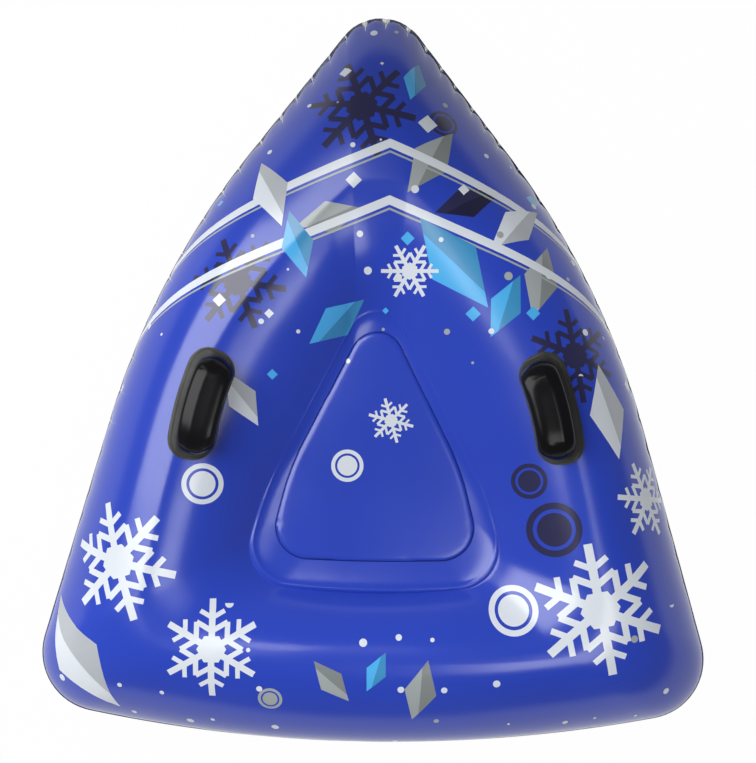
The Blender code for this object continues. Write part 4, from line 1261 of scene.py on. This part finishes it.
def add_handle(side, name, surface, patch_material, grip_material):
    """One handle: its doubler laid on the sheet, and the moulded arch that the hand holds."""
    reach = PATCH_WIDTH / 2
    middle = handle_plan(side, 0, 0)
    slope_x, slope_y = (
        (height_over(surface, middle + step) - height_over(surface, middle - step)) / (2 * reach)
        for step in (Vector((reach, 0)), Vector((0, reach)))
    )
    normal = Vector((-slope_x, -slope_y, 1)).normalized()
    lift = normal * (PATCH_GAP + PATCH_FILM)
    columns, rims = [], []
    for step in range(PATCH_STEPS + 1):
        along = PATCH_LENGTH / 2 * math.sin(math.pi * (step / PATCH_STEPS - 0.5))
        half = rounded_half_width(along, PATCH_LENGTH, PATCH_WIDTH, PATCH_CORNER_RADIUS)
        column, rim = [], []
        for lane in range(PATCH_LANES + 1):
            share = math.sin(math.pi / 2 * (2 * lane / PATCH_LANES - 1))
            place = handle_plan(side, along, half * share)
            edge = min(half * (1 - abs(share)), PATCH_LENGTH / 2 - abs(along), PATCH_CORNER_RADIUS)
            column.append(lifted(place, height_over(surface, place)) + lift)
            rim.append(1 - edge / PATCH_CORNER_RADIUS)
        columns.append(column)
        rims.append(rim)
    bm = sheet_mesh(columns, {"rim": rims}, merge=HANDLE_MERGE)
    if sum(face.normal.z for face in bm.faces) < 0:
        bmesh.ops.reverse_faces(bm, faces=bm.faces)
    patch_top = BVHTree.FromBMesh(bm)
    patch = add_piece(name + "_patch", bm, patch_material, (name + "_patch",))
    add_film(patch, PATCH_FILM)
    up = (normal + Vector((0, 0, GRIP_UPRIGHTNESS))).normalized()
    add_grip(side, name, patch_top, up, grip_material)


def grip_ring(side, angle, patch_top, up, spread=1):
    """One section of a grip's arch, from one foot at 0 to the other at a half turn."""
    c, s = rounded_wave(angle, GRIP_ARCH_SHARE)
    outer = Vector((GRIP_LENGTH / 2 * c, GRIP_HEIGHT * max(s, 0)))
    inner = Vector(((GRIP_LENGTH / 2 - GRIP_FOOT) * c, (GRIP_HEIGHT - GRIP_THICKNESS) * max(s, 0)))
    ring = []
    for step in range(GRIP_SIDES):
        out_share, across_share = rounded_wave(2 * math.pi * step / GRIP_SIDES, GRIP_SECTION_SHARE)
        spot = outer.lerp(inner, (1 - spread * out_share) / 2)
        half = rounded_half_width(spot.x, GRIP_LENGTH, GRIP_WIDTH, GRIP_END_RADIUS)
        across = spread * across_share * half
        place = handle_plan(side, spot.x, across - GRIP_INSET)
        foot = height_over(patch_top, place)
        level = height_over(patch_top, handle_plan(side, spot.x, -GRIP_INSET))
        foot += (level - foot) * min(1, spot.y / GRIP_LEVEL_HEIGHT)
        point = lifted(place, foot + PATCH_GAP) + up * spot.y
        if out_share > 0 and s > 0:
            top = min(1, GRIP_TOP_STEEPNESS * s) * out_share
            ridge = math.exp(-((2 * across / GRIP_WIDTH - GRIP_RIDGE_PLACE) / GRIP_RIDGE_WIDTH) ** 2)
            fade = eased((abs(spot.x) - GRIP_WRINKLE_START) / GRIP_WRINKLE_FADE)
            wrinkle = noise.noise(point * GRIP_WRINKLE_SCALE) * fade
            point += up * top * (GRIP_RIDGE * ridge + GRIP_WRINKLE * wrinkle)
        ring.append(point)
    return ring + [ring[0].copy()]


def add_grip(side, name, patch_top, up, grip_material):
    """The moulded arch of a handle."""
    turns = [math.pi * step / GRIP_STEPS for step in range(GRIP_STEPS + 1)]
    columns = [grip_ring(side, 0, patch_top, up, spread) for spread in SOLE_SHARES]
    columns += [grip_ring(side, turn, patch_top, up) for turn in turns]
    columns += [grip_ring(side, math.pi, patch_top, up, spread) for spread in reversed(SOLE_SHARES)]
    bm = sheet_mesh(columns, merge=HANDLE_MERGE)
    bmesh.ops.recalc_face_normals(bm, faces=bm.faces)
    add_piece(name + "_grip", bm, grip_material, (name + "_grip",))


def add_handles(context):
    """Both handles, laid on the top sheet."""
    colours = context.scene.snow_sled_colours
    patch_material = patch_vinyl(colours)
    grip_material = plain_vinyl("grip_vinyl", colours.handle, GRIP_VINYL)
    for side, name in ((1, "right_handle"), (-1, "left_handle")):
        add_handle(side, name, SurfaceKeep.top, patch_material, grip_material)


# Valve

def finish_valve(context):
    """The plastic and the rubber of the valve's pieces, which keep their CAD shapes."""
    plastic = plain_vinyl("valve_plastic", PLASTIC_COLOUR, VALVE_PLASTIC)
    rubber = plain_vinyl("seal_rubber", RUBBER_COLOUR, SEAL_RUBBER)
    for name in ("valve_flange", "valve_insert", "valve_tether_ring", "valve_cap"):
        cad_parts[name].material_slots[0].material = plastic
    for name in ("valve_insert_seal", "valve_diaphragm", "valve_cap_seal"):
        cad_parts[name].material_slots[0].material = rubber


# Studio

def add_softbox(name, place, size, target, power):
    """A rectangular softbox that looks at a point or straight down, unseen by the camera."""
    light = bpy.data.lights.new(name, "AREA")
    light.shape = "RECTANGLE"
    light.size, light.size_y = size
    light.energy = power
    lamp = bpy.data.objects.new(name, light)
    lamp.location = place
    if target:
        lamp.rotation_euler = (Vector(target) - Vector(place)).to_track_quat("-Z", "Y").to_euler()
    lamp.visible_camera = False
    bpy.context.scene.collection.objects.link(lamp)


def add_floor():
    """The pale floor: white to the camera and in reflections, with the sled's shadow kept."""
    bm = bmesh.new()
    bmesh.ops.create_grid(bm, x_segments=1, y_segments=1, size=FLOOR_REACH)
    mesh = bpy.data.meshes.new("floor")
    bm.to_mesh(mesh)
    bm.free()
    made, recipe, shader = new_material("floor_white")
    spot = recipe.place()
    colour = recipe.mix(recipe.noise(spot, FLOOR_COLOUR_SCALE), *FLOOR_COLOURS)
    recipe.feed(shader.inputs["Base Color"], colour)
    roughness = recipe.spread(recipe.noise(spot, TONE_SCALE), 0.0, 1.0, *FLOOR_ROUGHNESSES)
    recipe.feed(shader.inputs["Roughness"], roughness)
    glow = recipe.node("ShaderNodeEmission", {"Color": WHITE, "Strength": 1.0}).outputs[0]
    path = recipe.node("ShaderNodeLightPath").outputs
    seen = recipe.most(path["Is Camera Ray"], path["Is Glossy Ray"])
    seen = recipe.most(seen, path["Is Transmission Ray"])
    share = recipe.times(seen, FLOOR_GLOW_SHARE)
    mixed = recipe.node("ShaderNodeMixShader", {0: share, 1: shader.outputs[0], 2: glow}).outputs[0]
    end = next(node for node in made.node_tree.nodes if node.type == "OUTPUT_MATERIAL")
    recipe.feed(end.inputs["Surface"], mixed)
    mesh.materials.append(made)
    floor = bpy.data.objects.new("floor", mesh)
    floor.location.z = FLOOR_LEVEL
    bpy.context.scene.collection.objects.link(floor)


def set_world():
    """A studio world: white to the camera, and a soft light that is white low down and dim overhead."""
    world = bpy.data.worlds.new("studio")
    world.use_nodes = True
    recipe = Recipe(world.node_tree)
    back = world.node_tree.nodes["Background"]
    climb = recipe.split(recipe.node("ShaderNodeTexCoord").outputs["Generated"])["Z"]
    low = recipe.mix(recipe.spread(climb, *LOW_SKY_PLACES), WHITE, LOW_SKY_COLOUR)
    sky = recipe.mix(recipe.spread(climb, *HIGH_SKY_PLACES), low, HIGH_SKY_COLOUR)
    path = recipe.node("ShaderNodeLightPath")
    recipe.feed(back.inputs["Color"], recipe.mix(path.outputs["Is Camera Ray"], sky, WHITE))
    back.inputs["Strength"].default_value = 1.0
    bpy.context.scene.world = world


def add_camera(settings):
    """The camera, straight above the sled and turned slightly."""
    lens = bpy.data.cameras.new("camera")
    half = settings.frame_height / 2 / (settings.camera_height - SEAM_HEIGHT)
    lens.lens = lens.sensor_width / 2 / half
    camera = bpy.data.objects.new("camera", lens)
    camera.location = (CAMERA_X, CAMERA_Y, settings.camera_height)
    camera.rotation_euler.z = CAMERA_TURN
    bpy.context.scene.collection.objects.link(camera)
    bpy.context.scene.camera = camera


def set_stage(context):
    """The floor, the studio's light and the camera."""
    settings = context.scene.snow_sled_stage
    add_floor()
    set_world()
    for name, place, size, target in SOFTBOXES:
        add_softbox(name + "_softbox", place, size, target, getattr(settings, name + "_power"))
    add_camera(settings)
    context.scene.view_settings.view_transform = "Standard"


# Operators

class SurfaceKeep:
    """What one operator leaves for the next."""
    top = None


class PieceOperator:
    """Runs the function that builds an operator's pieces."""

    def execute(self, context):
        self.build(context)
        return {"FINISHED"}


class SNOW_SLED_OT_top_sheet(bpy.types.Operator):
    """Build the printed top sheet"""
    bl_idname = "snow_sled.top_sheet"
    bl_label = "Top sheet"

    def execute(self, context):
        SurfaceKeep.top = add_top_sheet(context)
        return {"FINISHED"}


class SNOW_SLED_OT_sliding_sheet(PieceOperator, bpy.types.Operator):
    """Build the dark sheet that slides on the snow"""
    bl_idname = "snow_sled.sliding_sheet"
    bl_label = "Sliding sheet"
    build = staticmethod(add_sliding_sheet)


class SNOW_SLED_OT_inner_films(PieceOperator, bpy.types.Operator):
    """Build the web, beams and floor inside the tube"""
    bl_idname = "snow_sled.inner_films"
    bl_label = "Inner films"
    build = staticmethod(add_inner_films)


class SNOW_SLED_OT_seat_pad(PieceOperator, bpy.types.Operator):
    """Build the seat pad"""
    bl_idname = "snow_sled.seat_pad"
    bl_label = "Seat pad"
    build = staticmethod(add_seat_pad)


class SNOW_SLED_OT_handles(PieceOperator, bpy.types.Operator):
    """Build both grab handles on the top sheet"""
    bl_idname = "snow_sled.handles"
    bl_label = "Handles"
    build = staticmethod(add_handles)


class SNOW_SLED_OT_valve(PieceOperator, bpy.types.Operator):
    """Finish the valve's pieces"""
    bl_idname = "snow_sled.valve"
    bl_label = "Valve"
    build = staticmethod(finish_valve)


class SNOW_SLED_OT_stage(PieceOperator, bpy.types.Operator):
    """Set the floor, studio light and camera"""
    bl_idname = "snow_sled.stage"
    bl_label = "Stage"
    build = staticmethod(set_stage)


class SNOW_SLED_PT_panel(bpy.types.Panel):
    """Lists the sled's operators and settings in the sidebar"""
    bl_idname = "SNOW_SLED_PT_panel"
    bl_label = "Snow sled"
    bl_space_type = "VIEW_3D"
    bl_region_type = "UI"
    bl_category = "Snow sled"

    def draw(self, context):
        for operator in OPERATORS:
            self.layout.operator(operator.bl_idname)
        for group in SETTINGS:
            settings = getattr(context.scene, group)
            for name in settings.__annotations__:
                self.layout.prop(settings, name)


OPERATORS = (
    SNOW_SLED_OT_top_sheet, SNOW_SLED_OT_sliding_sheet, SNOW_SLED_OT_inner_films, SNOW_SLED_OT_seat_pad,
    SNOW_SLED_OT_handles, SNOW_SLED_OT_valve, SNOW_SLED_OT_stage,
)
SETTINGS = {
    "snow_sled_sheets": SheetSettings,
    "snow_sled_colours": ColourSettings,
    "snow_sled_stage": StageSettings,
}


def register():
    """Registers the settings, operators and panel."""
    for made in (*SETTINGS.values(), *OPERATORS, SNOW_SLED_PT_panel):
        bpy.utils.register_class(made)
    for name, group in SETTINGS.items():
        setattr(bpy.types.Scene, name, PointerProperty(type=group))


def unregister():
    """Removes what register added."""
    for name in SETTINGS:
        delattr(bpy.types.Scene, name)
    for made in reversed((*SETTINGS.values(), *OPERATORS, SNOW_SLED_PT_panel)):
        bpy.utils.unregister_class(made)


def main():
    """Builds every piece and the stage."""
    register()
    bpy.ops.snow_sled.top_sheet()
    bpy.ops.snow_sled.sliding_sheet()
    bpy.ops.snow_sled.inner_films()
    bpy.ops.snow_sled.seat_pad()
    bpy.ops.snow_sled.handles()
    bpy.ops.snow_sled.valve()
    bpy.ops.snow_sled.stage()


if __name__ == "__main__":
    main()
